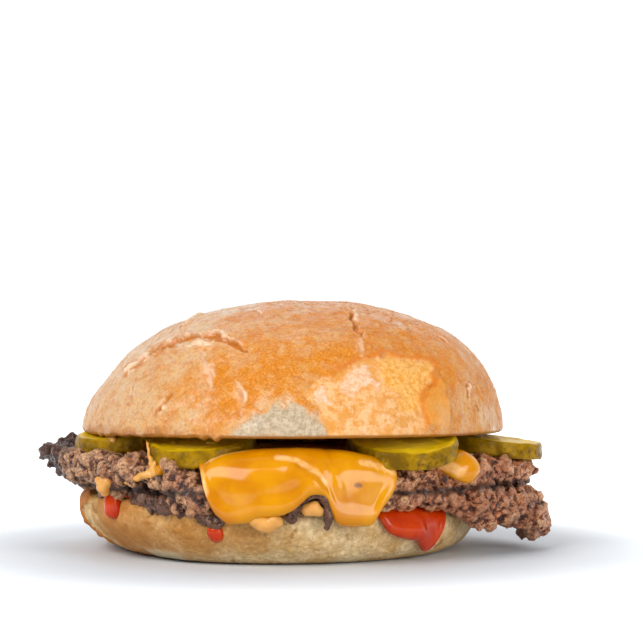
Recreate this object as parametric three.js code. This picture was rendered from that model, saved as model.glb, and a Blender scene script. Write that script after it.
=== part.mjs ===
// A double cheeseburger on a round bun: two thin, ragged beef patties with melted cheese,
// pickle slices, tomato ketchup and burger sauce, standing on the flat base of its heel.
// Millimetres, +Z up. The origin is the centre of the heel's flat base, the front is -Y.
// Angles are in degrees round +Z: 0 right, 90 back, 180 left, 270 front.
// Each layer is a round loft: a closed outline in the plane of every angle, joined all the way round.
import * as THREE from "three";

// Driving dimensions
const BURGER_HEIGHT = 63;
const CROWN_RADIUS = 54.5;
const CROWN_RIM_Z = 29.4;
const CROWN_UNDERSIDE_Z = 32.4;
const CROWN_SHOULDER_Z = 31.8;
const HEEL_RADIUS = 50.8;
const HEEL_OFFSET_X = -3.2;
const HEEL_HEIGHT = 13.2;
const HEEL_LEAN = 2; // the heel stands this much higher on the left than at the front
const HEEL_BASE_RADIUS = 39.6;
const KETCHUP_THICKNESS = 0.9;
const PATTY_THICKNESS = 4.5;
const CHEESE_THICKNESS = 1.4;
const DRAPE_THICKNESS = 2.1; // melted cheese where it hangs
const PICKLE_THICKNESS = 4;
const GAP = 0.3; // left between pieces that touch
const STACK_TILT = 0.02; // fall of the layers towards the right, per millimetre of x
const PLATEAU_RADIUS = 34; // inside this the lower layers lie flat
const UPPER_PLATEAU_RADIUS = 25; // and inside this the upper ones
const CRAG_DEPTH = 2.2; // the deepest cut of the crags in a patty's rim

const SECTIONS = 72;
const BUN_SECTIONS = 54;

const HEEL_TOP_Z = HEEL_HEIGHT - 0.4;
const LOWER_PATTY_Z = HEEL_TOP_Z + KETCHUP_THICKNESS + 2 * GAP;
const LOWER_CHEESE_Z = LOWER_PATTY_Z + PATTY_THICKNESS + GAP;
const UPPER_PATTY_Z = LOWER_CHEESE_Z + CHEESE_THICKNESS + GAP;

// Rims of the patties: angle, reach from the axis, height of the top edge and of the bottom edge.
// A low bottom edge is a flap that hangs over what lies beneath.
const LOWER_RIM = [
  [0, 63.5, 14.5, 4.2],
  [12, 60, 15.5, 8],
  [28, 54.5, 17.5, 10.6],
  [50, 50, 18.3, 14.4],
  [72, 49.5, 18.5, 14.2],
  [92, 53.4, 17, 9.8],
  [108, 50, 18.4, 14],
  [132, 55.6, 18.6, 12],
  [152, 53, 18.8, 15.4],
  [172, 53, 18.6, 15.4],
  [190, 53, 18.6, 15.4],
  [206, 52.5, 18.6, 15.4],
  [221, 51.5, 18.4, 15.4],
  [230, 53, 18.2, 14.4],
  [243, 46.5, 18, 15],
  [262, 49, 18.4, 14.6],
  [277, 52.6, 17, 9.8],
  [290, 49.5, 17.8, 14.4],
  [306, 51.4, 17.6, 14.6],
  [320, 52.4, 17.6, 13.8],
  [328, 56.5, 17, 7],
  [340, 58.5, 16.2, 9],
  [353, 66, 14, 3],
];
const UPPER_RIM = [
  [4, 61.4, 20.6, 16.4],
  [24, 55, 21.8, 18],
  [48, 51.5, 22.4, 18.6],
  [66, 51.5, 22.4, 18.8],
  [80, 55.4, 22.8, 11.6],
  [94, 52, 23, 19],
  [118, 51.8, 22.4, 18.8],
  [140, 58, 22.8, 16.4],
  [158, 57.5, 24.4, 19.2],
  [174, 63.4, 24.8, 21],
  [186, 60, 24.2, 19.6],
  [203, 57, 22.6, 18],
  [217, 55.4, 22.2, 18.6],
  [230, 53.4, 21.2, 18.2],
  [243, 55, 20.8, 12.6],
  [256, 51.4, 23.6, 18.6],
  [262, 51.2, 24.6, 18.8],
  [284, 50.6, 24.6, 19],
  [294, 50.6, 22.2, 18.6],
  [304, 51.4, 20.4, 17.4],
  [322, 54.4, 21, 16.6],
  [338, 56.5, 21, 17.4],
  [350, 60.6, 20.6, 16.8],
];

// Melted cheese: angle, and how far the slice hangs below the middle of the patty's rim
// (below 0, how far it stops short of the rim).
const UPPER_DRAPE = [
  [0, -10],
  [20, -9],
  [44, -3],
  [58, 4],
  [72, 8.5],
  [86, 10.5],
  [98, 5],
  [108, 8],
  [118, 1],
  [132, -6],
  [150, -2],
  [164, -8],
  [195, -12],
  [214, -6],
  [227, -7],
  [235, -3],
  [241, -6],
  [247, -4],
  [250, 0],
  [253, 6.4],
  [257.5, 10.2],
  [262, 10.4],
  [269.4, 9.2],
  [273.5, 7],
  [277.5, 4.4],
  [280, 6],
  [283, 10.8],
  [289.5, 10.6],
  [293, 6],
  [296, 1],
  [299.5, -4],
  [308, -5],
  [314, -1.6],
  [320, -0.8],
  [326, -3],
  [332, -8],
];
const LOWER_CHEESE_REACH = [
  [0, 47],
  [45, 49],
  [70, 45.5],
  [120, 47],
  [145, 51],
  [170, 48],
  [215, 46],
  [229, 49.5],
  [245, 43],
  [270, 46],
  [312, 49.4],
  [335, 46],
];

// Ketchup on the heel: angle, and how far it runs past the heel's upper edge.
const KETCHUP_RUN = [
  [0, -9],
  [70, -6],
  [98, -4],
  [104, 5],
  [110, -4],
  [160, -8],
  [207, -5],
  [214, -3],
  [218, 3.6],
  [222, 3.6],
  [226, -3],
  [232, -6],
  [280, -6],
  [291, -4],
  [297, 3.4],
  [303, 5],
  [308, 5.6],
  [312, 8.6],
  [315, 8.2],
  [319, 3],
  [324, -4],
];

// Pickle slices: name, centre, radius, height of the underside's middle, and its slopes along x and y.
const PICKLES = [
  ["pickle_left", -39.4, -17.5, 12.8, 26.2, 0.1, 0.12],
  ["pickle_front_left", -19.8, -37.6, 12.6, 25.2, 0.07, 0.24],
  ["pickle_front_right", 27.2, -36, 12.9, 25, -0.02, 0.26],
  ["pickle_right", 50.2, -7.5, 13.8, 24, -0.11, 0.03],
  ["pickle_middle", 3.4, -8.5, 14, 27.4, 0, 0.02],
  ["pickle_back_right", 24, 33.4, 14.4, 25.6, -0.06, -0.12],
  ["pickle_back_left", -22.5, 32.4, 13.6, 25.8, 0.06, -0.12],
];

// Drips of burger sauce: angle and reach, the height of the middle, and the size.
const DRIPS = [
  { name: "sauce_drip_left", angle: 218.5, reach: 54.4, z: 17.4, width: 4.6, height: 2, depth: 1.8 },
  { name: "sauce_drip_front", angle: 265, reach: 52.8, z: 9.2, width: 5.6, height: 3.4, depth: 2 },
];

const radians = THREE.MathUtils.degToRad;
const mix = THREE.MathUtils.lerp;
const ease = THREE.MathUtils.smoothstep;

// The values of a table of stations at any angle, eased from one station to the next.
function around(stations, angle) {
  const a = ((angle % 360) + 360) % 360;
  const after = stations.findIndex((s) => s[0] > a);
  const next = stations[after < 0 ? 0 : after];
  const last = stations[(after < 0 ? stations.length : after || stations.length) - 1];
  const span = (next[0] - last[0] + 360) % 360 || 360;
  const t = ease(((a - last[0] + 360) % 360) / span, 0, 1);
  return last.slice(1).map((value, i) => mix(value, next[i + 1], t));
}

// Smooth noise from -1 to 1 with features about one unit across.
function noise(x, y, z) {
  const corner = (i, j, k) => {
    const s = Math.sin(i * 127.1 + j * 311.7 + k * 74.7) * 43758.5453;
    return 2 * (s - Math.floor(s)) - 1;
  };
  const [i, j, k] = [x, y, z].map(Math.floor);
  const [u, v, w] = [x - i, y - j, z - k].map((t) => ease(t, 0, 1));
  const edge = (b, c) => mix(corner(i, b, c), corner(i + 1, b, c), u);
  return mix(mix(edge(j, k), edge(j + 1, k), v), mix(edge(j, k + 1), edge(j + 1, k + 1), v), w);
}

// A closed round loft. sectionAt(angle) gives the outline as [r, z] points, all sections alike
// in number, from the top of the axis round to its foot.
function roundLoft(angles, sectionAt) {
  const positions = [];
  const index = [];
  const sections = angles.map(sectionAt);
  const inner = sections[0].length - 2;
  const axis = [sections[0][0], sections[0][inner + 1]];
  for (const [, z] of axis) positions.push(0, 0, z);
  sections.forEach((points, j) => {
    const a = radians(angles[j]);
    for (const [r, z] of points.slice(1, -1)) positions.push(r * Math.cos(a), r * Math.sin(a), z);
  });
  const at = (j, k) => 2 + (j % angles.length) * inner + k;
  for (let j = 0; j < angles.length; j++) {
    index.push(0, at(j, 0), at(j + 1, 0));
    index.push(1, at(j + 1, inner - 1), at(j, inner - 1));
    for (let k = 0; k < inner - 1; k++) {
      index.push(at(j, k), at(j, k + 1), at(j + 1, k + 1));
      index.push(at(j, k), at(j + 1, k + 1), at(j + 1, k));
    }
  }
  const geometry = new THREE.BufferGeometry();
  geometry.setAttribute("position", new THREE.Float32BufferAttribute(positions, 3));
  geometry.setIndex(index);
  geometry.computeVertexNormals();
  return geometry;
}

const evenly = (count) => Array.from({ length: count }, (_, j) => (j * 360) / count);
const tilt = (r, angle) => -STACK_TILT * r * Math.cos(radians(angle));

// Heel: a flat base, a side that swells outwards, a cut top that is lower on the right.
function heelReach(angle) {
  const a = radians(angle);
  return HEEL_RADIUS + HEEL_OFFSET_X * Math.cos(a) + 0.5 * Math.sin(3 * a + 1) + 0.3 * Math.sin(7 * a);
}
const heelEdgeZ = (angle) => HEEL_HEIGHT - HEEL_LEAN * Math.cos(radians(angle));
const heelWidestZ = (angle) => 0.82 * heelEdgeZ(angle);
// How far the heel's side reaches at height z.
function heelSide(z, angle) {
  const base = HEEL_BASE_RADIUS + 0.6 * HEEL_OFFSET_X * Math.cos(radians(angle));
  const swell = Math.min(1, Math.max(0, 1 - z / heelWidestZ(angle)));
  return mix(base, heelReach(angle), Math.sqrt(1 - swell * swell));
}
function heelTop(r, angle) {
  const inner = HEEL_TOP_Z + tilt(r, angle);
  return mix(inner, heelEdgeZ(angle), ease(r, 0.62 * heelReach(angle), heelReach(angle)));
}
function heelSection(angle) {
  const reach = heelReach(angle);
  const side = [0.82, 0.58, 0.32, 0.14, 0.04].map((share) => {
    const z = share * heelEdgeZ(angle);
    return [heelSide(z, angle), z];
  });
  const edge = heelEdgeZ(angle);
  return [
    [0, HEEL_TOP_Z],
    [0.62 * reach, heelTop(0.62 * reach, angle)],
    [0.84 * reach, heelTop(0.84 * reach, angle)],
    [reach - 1.2, heelTop(reach - 1.2, angle)],
    [reach - 0.2, 0.94 * edge],
    ...side,
    [heelSide(0, angle), 0],
    [0, 0],
  ];
}

// Crown: a dome that falls away more on the left than on the right, with a rim that turns in.
const crownReach = (angle) => {
  const a = radians(angle);
  return CROWN_RADIUS + 0.4 * Math.sin(2 * a + 0.6) + 0.35 * Math.sin(5 * a);
};
// How much slimmer the crown is at its shoulder than a plain dome, most on the left.
function crownSlope(angle, z) {
  const most = 2.2 - 1.3 * Math.cos(radians(angle));
  return most * Math.exp(-(((z - 43) / 11) ** 2)) * ease(z, 30, 37);
}
function crownUnderside(r, angle) {
  const turned = ease(r, 38, crownReach(angle) - 2);
  return mix(CROWN_UNDERSIDE_Z + tilt(r, angle), CROWN_RIM_Z, turned);
}
function crownSection(angle) {
  const reach = crownReach(angle);
  const power = 2.15 + 0.25 * Math.cos(radians(angle));
  const rise = BURGER_HEIGHT - CROWN_SHOULDER_Z;
  const dome = [14, 27, 39, 50, 60, 69, 77, 84, 90].map((t) => {
    const z = CROWN_SHOULDER_Z + rise * Math.max(0, Math.cos(radians(t))) ** (2 / power);
    return [reach * Math.sin(radians(t)) ** (2 / power) - crownSlope(angle, z), z];
  });
  return [
    [0, BURGER_HEIGHT],
    ...dome,
    [reach - 0.5, CROWN_RIM_Z + 0.7],
    [reach - 2, CROWN_RIM_Z],
    [47, crownUnderside(47, angle)],
    [43, crownUnderside(43, angle)],
    [38, crownUnderside(38, angle)],
    [0, CROWN_UNDERSIDE_Z],
  ];
}

// The top of a patty at radius r, without its relief.
function pattyTop(rim, topZ, plateau, r, angle) {
  const [reach, rimTop] = around(rim, angle);
  const flat = topZ + tilt(Math.min(r, plateau), angle);
  return mix(flat, rimTop, ease(r, plateau, reach - 1));
}
const lowerTop = (r, angle) => pattyTop(LOWER_RIM, LOWER_PATTY_Z + PATTY_THICKNESS, PLATEAU_RADIUS, r, angle);
const upperTop = (r, angle) => {
  return pattyTop(UPPER_RIM, UPPER_PATTY_Z + PATTY_THICKNESS, UPPER_PLATEAU_RADIUS, r, angle);
};

// A patty's outline: along its top, round a thick craggy rim and back over what lies beneath,
// which is given by its reach, by floorZ, the lowest that the patty may come inside that reach, and
// by stepReach, where that floor drops.
function pattySection({ rim, bottomZ, top, beneathReach, floorZ, stepReach, seed }) {
  return (angle) => {
    const [reach, rimTop, wantedBottom] = around(rim, angle);
    const hangs = reach > beneathReach(angle) + 2.4;
    const wall = hangs ? beneathReach(angle) + 1 : reach - 2.4;
    const bottom = (r) => {
      const flat = bottomZ + tilt(Math.min(r, PLATEAU_RADIUS), angle);
      const wanted = mix(flat, wantedBottom, ease(r, PLATEAU_RADIUS, reach - 3));
      return Math.max(wanted, floorZ(r, angle));
    };
    const rimBottom = hangs ? wantedBottom : Math.max(bottom(reach), bottom(wall));
    const deepest = hangs ? Math.min(CRAG_DEPTH, 0.6 * (reach - wall - 0.8)) : CRAG_DEPTH;
    const crag = (r, z) => {
      const [x, y] = [r * Math.cos(radians(angle)), r * Math.sin(radians(angle))];
      return [r - deepest * (0.5 + 0.5 * noise(x / 5 + seed, y / 5, z / 4)), z];
    };
    const face = (share) => mix(rimTop, rimBottom, share);
    const step = Math.min(stepReach(angle), wall - 0.6);
    const halfway = 0.5 * (step + PLATEAU_RADIUS);
    return [
      [0, top(0, angle)],
      [UPPER_PLATEAU_RADIUS, top(UPPER_PLATEAU_RADIUS, angle)],
      [reach - 14, top(reach - 14, angle)],
      [reach - 6, top(reach - 6, angle)],
      crag(reach - 1.6, face(0.08)),
      crag(reach, face(0.35)),
      crag(reach - 0.2, face(0.7)),
      [Math.max(crag(reach - 1.4, rimBottom)[0], wall + 0.7), rimBottom],
      [wall + 0.2, Math.min(rimBottom + 0.4, bottom(wall))],
      [wall, bottom(wall)],
      [step, bottom(step)],
      [halfway, bottom(halfway) + 0.1],
      [PLATEAU_RADIUS, bottom(PLATEAU_RADIUS)],
      [0, bottomZ],
    ];
  };
}

const lowerCheeseReach = (angle) => around(LOWER_CHEESE_REACH, angle)[0];
const lowerPattySection = pattySection({
  rim: LOWER_RIM,
  bottomZ: LOWER_PATTY_Z,
  top: lowerTop,
  beneathReach: heelReach,
  floorZ: (r, angle) => heelTop(r, angle) + KETCHUP_THICKNESS + 2 * GAP + 0.1,
  stepReach: (angle) => 0.84 * heelReach(angle),
  seed: 3,
});
// What the upper patty lies on: the lower patty, with the lower slice of cheese as far as that goes.
function upperFloor(r, angle) {
  const edge = lowerCheeseReach(angle) + 1.2;
  const cheese = (CHEESE_THICKNESS + GAP) * (1 - ease(r, edge, edge + 2));
  return lowerTop(r, angle) + cheese + GAP + 0.15;
}
const stackReach = (angle) => Math.max(heelReach(angle), around(LOWER_RIM, angle)[0]);
const upperPattySection = pattySection({
  rim: UPPER_RIM,
  bottomZ: UPPER_PATTY_Z,
  top: upperTop,
  beneathReach: stackReach,
  floorZ: upperFloor,
  stepReach: (angle) => lowerCheeseReach(angle) + 1.1,
  seed: 40,
});

function lowerCheeseSection(angle) {
  const reach = lowerCheeseReach(angle);
  const over = (r, lift) => [r, lowerTop(r, angle) + GAP + lift];
  return [
    over(0, CHEESE_THICKNESS),
    over(PLATEAU_RADIUS, CHEESE_THICKNESS),
    over(reach - 5, CHEESE_THICKNESS),
    over(reach - 0.6, CHEESE_THICKNESS - 0.1),
    over(reach, 0.6),
    over(reach - 0.6, 0.1),
    over(reach - 5, 0),
    over(PLATEAU_RADIUS, 0),
    over(0, 0),
  ];
}

// A sheet laid along a path in the plane of one angle, from the axis out to length, with a rounded
// end. The path turns down at knee.
function sheetSection(path, knee, length, thicknessAt) {
  const total = path.getLength();
  const bend = Math.min(knee, length - 1.2);
  const rest = length - bend;
  const flat = [0.45 * bend, 0.8 * bend, bend - 5, bend - 2.8, bend - 1];
  const stops = [...flat, bend + 0.3 * rest, bend + 0.8 * rest];
  const side = (stop, lift) => {
    const u = Math.min(1, stop / total);
    const [point, along] = [path.getPointAt(u), path.getTangentAt(u)];
    return [point.x - along.y * lift, point.y + along.x * lift];
  };
  const start = path.getPointAt(0);
  return [
    [0, start.y + thicknessAt(0)],
    ...stops.map((stop) => side(stop, thicknessAt(stop))),
    side(length, 0.5 * thicknessAt(length)),
    ...stops.toReversed().map((stop) => side(stop, 0)),
    [0, start.y],
  ];
}

// The melted slice on top: over the upper patty, round its rim and down the outside of the stack.
function upperCheeseSection(angle) {
  const [reach, rimTop, rimBottom] = around(UPPER_RIM, angle);
  const outside = Math.max(reach, stackReach(angle));
  const middle = mix(rimTop, rimBottom, 0.4);
  const low = Math.max(rimTop - 4.4, around(LOWER_RIM, angle)[1] + 1.2);
  const flat = [0, 20, PLATEAU_RADIUS, reach - 9, reach - 4.5].map((r) => [r, upperTop(r, angle) + GAP + 0.2]);
  const knee = new THREE.Vector2(reach + GAP + 0.4, Math.max(middle, rimTop - 3.4));
  const points = [
    ...flat.map(([r, z]) => new THREE.Vector2(r, z)),
    new THREE.Vector2(reach - 1, rimTop + 0.6),
    knee,
    new THREE.Vector2(outside + GAP + 0.3, Math.min(low, knee.y - 1)),
    new THREE.Vector2(outside + GAP + 0.4, Math.min(low, knee.y - 1) - 4),
    new THREE.Vector2(outside + GAP + 0.4, 4),
  ];
  const path = new THREE.SplineCurve(points);
  path.arcLengthDivisions = 400;
  const toKnee = points.slice(1, 7).reduce((sum, p, i) => sum + p.distanceTo(points[i]), 0);
  const hang = around(UPPER_DRAPE, angle)[0];
  const thicknessAt = (s) => mix(CHEESE_THICKNESS, DRAPE_THICKNESS, ease(s, toKnee - 8, toKnee + 2));
  return sheetSection(path, toKnee, toKnee + hang, thicknessAt);
}

// Ketchup: a thin layer on the heel that runs over its edge in drips.
function ketchupSection(angle) {
  const reach = heelReach(angle);
  const edge = heelEdgeZ(angle);
  const flat = [0, 18, 0.62 * reach, 0.8 * reach, reach - 3].map((r) => [r, heelTop(r, angle) + GAP]);
  const side = [0.86, 0.6, 0.4, 0.22, 0.1].map((share) => [heelSide(share * edge, angle) + 0.75, share * edge]);
  const points = [...flat, [reach + 0.3, edge + 2.2 * GAP], ...side].map(([r, z]) => new THREE.Vector2(r, z));
  const path = new THREE.SplineCurve(points);
  path.arcLengthDivisions = 400;
  const run = around(KETCHUP_RUN, angle)[0];
  const thicknessAt = (s) => mix(KETCHUP_THICKNESS, 1.7, ease(s, reach + 1, reach + 3));
  return sheetSection(path, reach + 0.8, reach + run, thicknessAt);
}

// The top of the stack at a point, with the melted cheese as far as that goes.
function stackTop(x, y) {
  const r = Math.hypot(x, y);
  const angle = (Math.atan2(y, x) * 180) / Math.PI;
  const [reach] = around(UPPER_RIM, angle);
  const [hang] = around(UPPER_DRAPE, angle);
  const cheese = mix(CHEESE_THICKNESS, DRAPE_THICKNESS, ease(r, reach - 8, reach + 2)) + GAP;
  return upperTop(r, angle) + GAP + 0.2 + cheese * (1 - ease(r, reach + hang + 5.5, reach + hang + 7.5));
}

// A pickle slice: a flat round slice that bends where it lies on the stack and where the crown presses it.
function pickleGeometry(cx, cy, radius, middle, slopeX, slopeY) {
  const rest = (dx, dy) => Math.max(middle + slopeX * dx + slopeY * dy, stackTop(cx + dx, cy + dy)) + 0.2;
  const pressed = (dx, dy) => {
    const [r, angle] = [Math.hypot(cx + dx, cy + dy), (Math.atan2(cy + dy, cx + dx) * 180) / Math.PI];
    return Math.min(PICKLE_THICKNESS, crownUnderside(r, angle) - GAP - rest(dx, dy));
  };
  const rings = [
    [0.55, 1],
    [0.93, 1],
    [1, 0.8],
    [1.01, 0.45],
    [0.98, 0.1],
    [0.9, 0],
    [0.55, 0],
  ];
  const count = 22;
  const positions = [0, 0, rest(0, 0) + pressed(0, 0), 0, 0, rest(0, 0)];
  const index = [];
  for (const [share, lift] of rings) {
    for (let i = 0; i < count; i++) {
      const a = (2 * Math.PI * i) / count;
      const r = share * radius * (1 + 0.012 * Math.sin(5 * a + cx) + 0.01 * Math.sin(9 * a));
      const [dx, dy] = [r * Math.cos(a), r * Math.sin(a)];
      positions.push(dx, dy, rest(dx, dy) + lift * pressed(dx, dy));
    }
  }
  const at = (k, i) => 2 + k * count + (i % count);
  for (let i = 0; i < count; i++) {
    index.push(0, at(0, i), at(0, i + 1));
    index.push(1, at(rings.length - 1, i + 1), at(rings.length - 1, i));
    for (let k = 0; k < rings.length - 1; k++) {
      index.push(at(k, i), at(k + 1, i), at(k + 1, i + 1));
      index.push(at(k, i), at(k + 1, i + 1), at(k, i + 1));
    }
  }
  const geometry = new THREE.BufferGeometry();
  geometry.setAttribute("position", new THREE.Float32BufferAttribute(positions, 3));
  geometry.setIndex(index);
  geometry.computeVertexNormals();
  return geometry;
}

// A drip of burger sauce: a drop with its narrow end up, flat against the stack behind it.
function dripGeometry({ width, height, depth, angle }) {
  const profile = [
    [0, 0.5],
    [0.34, 0.46],
    [0.42, 0.24],
    [0.5, -0.1],
    [0.46, -0.3],
    [0.26, -0.45],
    [0, -0.5],
  ].map(([r, z]) => new THREE.Vector2(r, z));
  const drop = new THREE.LatheGeometry(profile.reverse(), 12).rotateX(Math.PI / 2);
  return drop.scale(width, depth, height).rotateZ(radians(angle + 90));
}

const burger = new THREE.Group();
function addPiece(name, geometry, color, roughness) {
  const material = new THREE.MeshStandardMaterial({ color, roughness, metalness: 0 });
  const piece = new THREE.Mesh(geometry, material);
  piece.name = name;
  burger.add(piece);
  return piece;
}

// Angles that crowd together between from and to, for what runs in narrow drips.
function crowded(step, ranges) {
  const angles = [];
  let a = 0;
  while (a < 360) {
    angles.push(a);
    const fine = ranges.find(([from, to]) => a >= from && a < to);
    a += fine ? fine[2] : step;
  }
  return angles;
}

addPiece("heel", roundLoft(evenly(BUN_SECTIONS), heelSection), 0xd6a565, 0.75);
const ketchupAngles = crowded(8, [
  [96, 112, 2.7],
  [208, 227, 1.6],
  [288, 328, 2],
]);
addPiece("ketchup", roundLoft(ketchupAngles, ketchupSection), 0xd23a10, 0.2);
addPiece("patty_lower", roundLoft(evenly(SECTIONS), lowerPattySection), 0x6b4232, 0.7);
addPiece("cheese_lower", roundLoft(evenly(SECTIONS), lowerCheeseSection), 0xf7a823, 0.3);
addPiece("patty_upper", roundLoft(evenly(SECTIONS), upperPattySection), 0x6b4232, 0.7);
const cheeseAngles = crowded(5, [[245, 310, 2.5]]);
addPiece("cheese_upper", roundLoft(cheeseAngles, upperCheeseSection), 0xf9ab15, 0.25);
for (const [name, x, y, ...shape] of PICKLES) {
  addPiece(name, pickleGeometry(x, y, ...shape), 0x94841a, 0.35).position.set(x, y, 0);
}
for (const drip of DRIPS) {
  const a = radians(drip.angle);
  const piece = addPiece(drip.name, dripGeometry(drip), 0xc98a55, 0.3);
  piece.position.set(drip.reach * Math.cos(a), drip.reach * Math.sin(a), drip.z);
}
addPiece("crown", roundLoft(evenly(BUN_SECTIONS), crownSection), 0xe09a45, 0.35);

export default burger;
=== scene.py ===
# A double cheeseburger with thin, ragged patties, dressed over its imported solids.
# Lengths are millimetres until a mesh is made. +Z is up and the front is -Y.
# Angles are degrees round +Z: 0 right, 90 back, 180 left, 270 front.
import itertools
import math

import bmesh
import bpy
import numpy as np
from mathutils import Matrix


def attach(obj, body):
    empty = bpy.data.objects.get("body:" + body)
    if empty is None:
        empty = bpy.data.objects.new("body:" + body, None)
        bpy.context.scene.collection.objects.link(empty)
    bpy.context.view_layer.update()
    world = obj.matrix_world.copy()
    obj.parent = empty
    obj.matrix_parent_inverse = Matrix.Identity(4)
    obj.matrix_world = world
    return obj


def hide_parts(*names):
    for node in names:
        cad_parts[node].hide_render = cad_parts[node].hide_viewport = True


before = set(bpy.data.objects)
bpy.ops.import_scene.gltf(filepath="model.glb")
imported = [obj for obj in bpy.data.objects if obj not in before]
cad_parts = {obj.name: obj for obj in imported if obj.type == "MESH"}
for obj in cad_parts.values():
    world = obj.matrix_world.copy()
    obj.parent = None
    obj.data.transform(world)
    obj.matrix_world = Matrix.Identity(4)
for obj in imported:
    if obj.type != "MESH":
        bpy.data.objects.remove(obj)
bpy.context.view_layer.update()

MM = 0.001

# Driving sizes, as the solids have them
BURGER_HEIGHT = 63
CROWN_RADIUS = 54.5
CROWN_RIM_Z = 29.4
CROWN_UNDERSIDE_Z = 32.4
CROWN_SHOULDER_Z = 31.8
RIM_BEND_Z = 30.5
RIM_BEND_RADIUS = 1.2
HEEL_RADIUS = 50.8
HEEL_OFFSET_X = -3.2
HEEL_HEIGHT = 13.2
HEEL_LEAN = 2
HEEL_WIDEST_SHARE = 0.82
HEEL_CORNER = 2.2
HEEL_BASE_RADIUS = 39.6
KETCHUP_THICKNESS = 0.9
PATTY_THICKNESS = 4.5
CHEESE_THICKNESS = 1.4
DRAPE_THICKNESS = 2.1
PICKLE_THICKNESS = 4
GAP = 0.3
STACK_TILT = 0.02
STACK_RADIUS = 53
PLATEAU_RADIUS = 34
UPPER_PLATEAU_RADIUS = 25

HEEL_TOP_Z = HEEL_HEIGHT - 0.4
LOWER_PATTY_Z = HEEL_TOP_Z + KETCHUP_THICKNESS + 2 * GAP
UPPER_PATTY_Z = LOWER_PATTY_Z + PATTY_THICKNESS + CHEESE_THICKNESS + 2 * GAP
MM_PER_DEGREE = math.radians(1) * STACK_RADIUS

# Rims of the patties: angle, reach from the axis, height of the top edge and of the bottom edge
LOWER_RIM = [
    (0, 63.5, 14.5, 4.2), (12, 60, 15.5, 8), (28, 54.5, 17.5, 10.6), (50, 50, 18.3, 14.4),
    (72, 49.5, 18.5, 14.2), (92, 53.4, 17, 9.8), (108, 50, 18.4, 14), (132, 55.6, 18.6, 12),
    (152, 53, 18.8, 15.4), (172, 53, 18.6, 15.4), (190, 53, 18.6, 15.4), (206, 52.5, 18.6, 15.4),
    (221, 51.5, 18.4, 15.4), (230, 53, 18.2, 14.4), (243, 46.5, 18, 15), (262, 49, 18.4, 14.6),
    (277, 52.6, 17, 9.8), (290, 49.5, 17.8, 14.4), (306, 51.4, 17.6, 14.6), (318, 52.2, 17.6, 13.6),
    (328, 56.5, 17, 7), (340, 58.5, 16.2, 9), (353, 66, 14, 3),
]
UPPER_RIM = [
    (4, 61.4, 20.6, 16.4), (24, 55, 21.8, 18), (48, 51.5, 22.4, 18.6), (66, 51.5, 22.4, 18.8),
    (80, 55.4, 22.8, 11.6), (94, 52, 23, 19), (118, 51.8, 22.4, 18.8), (140, 58, 22.8, 16.4),
    (158, 57.5, 24.4, 19.2), (174, 63.4, 24.8, 21), (186, 60, 24.2, 19.6), (203, 57, 22.6, 18),
    (217, 55.4, 22.2, 18.6), (230, 53.4, 21.2, 18.2), (243, 55, 20.8, 12.6), (256, 51.4, 23.6, 18.6),
    (262, 51.2, 24.6, 18.8), (284, 50.6, 24.6, 19), (294, 50.6, 22.2, 18.6), (304, 51.4, 20.4, 17.4),
    (322, 54.4, 21, 16.6), (338, 56.5, 21, 17.4), (350, 60.6, 20.6, 16.8),
]
# Melted cheese: angle, and how far it hangs below the middle of the patty's rim
UPPER_DRAPE = [
    (0, -10), (20, -9), (44, -3), (58, 4), (72, 8.5), (86, 10.5), (98, 5), (108, 8), (118, 1), (132, -6),
    (150, -2), (164, -8), (195, -12), (214, -6), (229, -8), (234, -7), (236, -3), (238.6, -2.2),
    (241, -5), (246.6, -6), (249.2, -3), (251.4, 2.8), (253.6, 7.4), (256.8, 10.2), (261, 10.4),
    (265, 9.4), (269.4, 9.2), (272.4, 8), (274.2, 6.2), (276.2, 4.6), (279.4, 4.6), (280.8, 6.4),
    (281.8, 11), (285.6, 11.2), (291.6, 10.8), (293.2, 7.6), (295, 5), (297.6, 2), (300, -3.6), (309, -7),
    (312, -4.6), (315, -1), (318.8, 0.6), (322.4, -1), (326, -5), (331, -8),
]
# Ketchup on the heel: angle, and how far it runs past the heel's upper edge
KETCHUP_RUN = [
    (0, -9), (70, -6), (98, -4), (101, 0), (103, 4.6), (105, 5.2), (107, 4.2), (110, -4), (160, -8),
    (207, -5), (214.4, -4), (217, -3), (218.6, -0.6), (220.3, 1.4), (222, -0.6), (223.6, -3), (225.4, -4),
    (232, -6), (280, -6), (293.5, -3), (296, 2), (298.5, 4.2), (303, 5), (308.4, 5.4), (310.4, 6.8),
    (312, 8.6), (313.8, 9), (315.6, 7.6), (317, 4.8), (319.4, 2), (321.6, -1), (324, -5),
]
LOWER_CHEESE_REACH = [
    (0, 47), (45, 49), (70, 45.5), (120, 47), (145, 51), (170, 48), (215, 46), (229, 49.5), (245, 43),
    (270, 46), (312, 49.4), (335, 46),
]
# Pickle slices: centre, radius, height of the underside's middle, and its slopes along x and y
PICKLES = {
    "pickle_left": (-39.4, -17.5, 12.8, 26.2, 0.1, 0.12),
    "pickle_front_left": (-19.8, -37.6, 12.6, 25.2, 0.07, 0.24),
    "pickle_front_right": (27.2, -36, 12.9, 25, -0.02, 0.26),
    "pickle_right": (50.2, -7.5, 13.8, 24, -0.11, 0.03),
    "pickle_middle": (3.4, -8.5, 14, 27.4, 0, 0.02),
    "pickle_back_right": (24, 33.4, 14.4, 25.6, -0.06, -0.12),
    "pickle_back_left": (-22.5, 32.4, 13.6, 25.8, 0.06, -0.12),
}


# Small mathematics

def ease(x, low, high):
    t = np.clip((np.asarray(x, float) - low) / (np.asarray(high, float) - low), 0, 1)
    return t * t * (3 - 2 * t)


def band(x, rise, full, fall, gone):
    """Rises to 1 from rise to full, and falls back to 0 from fall to gone."""
    return ease(x, rise, full) * (1 - ease(x, fall, gone))


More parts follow.
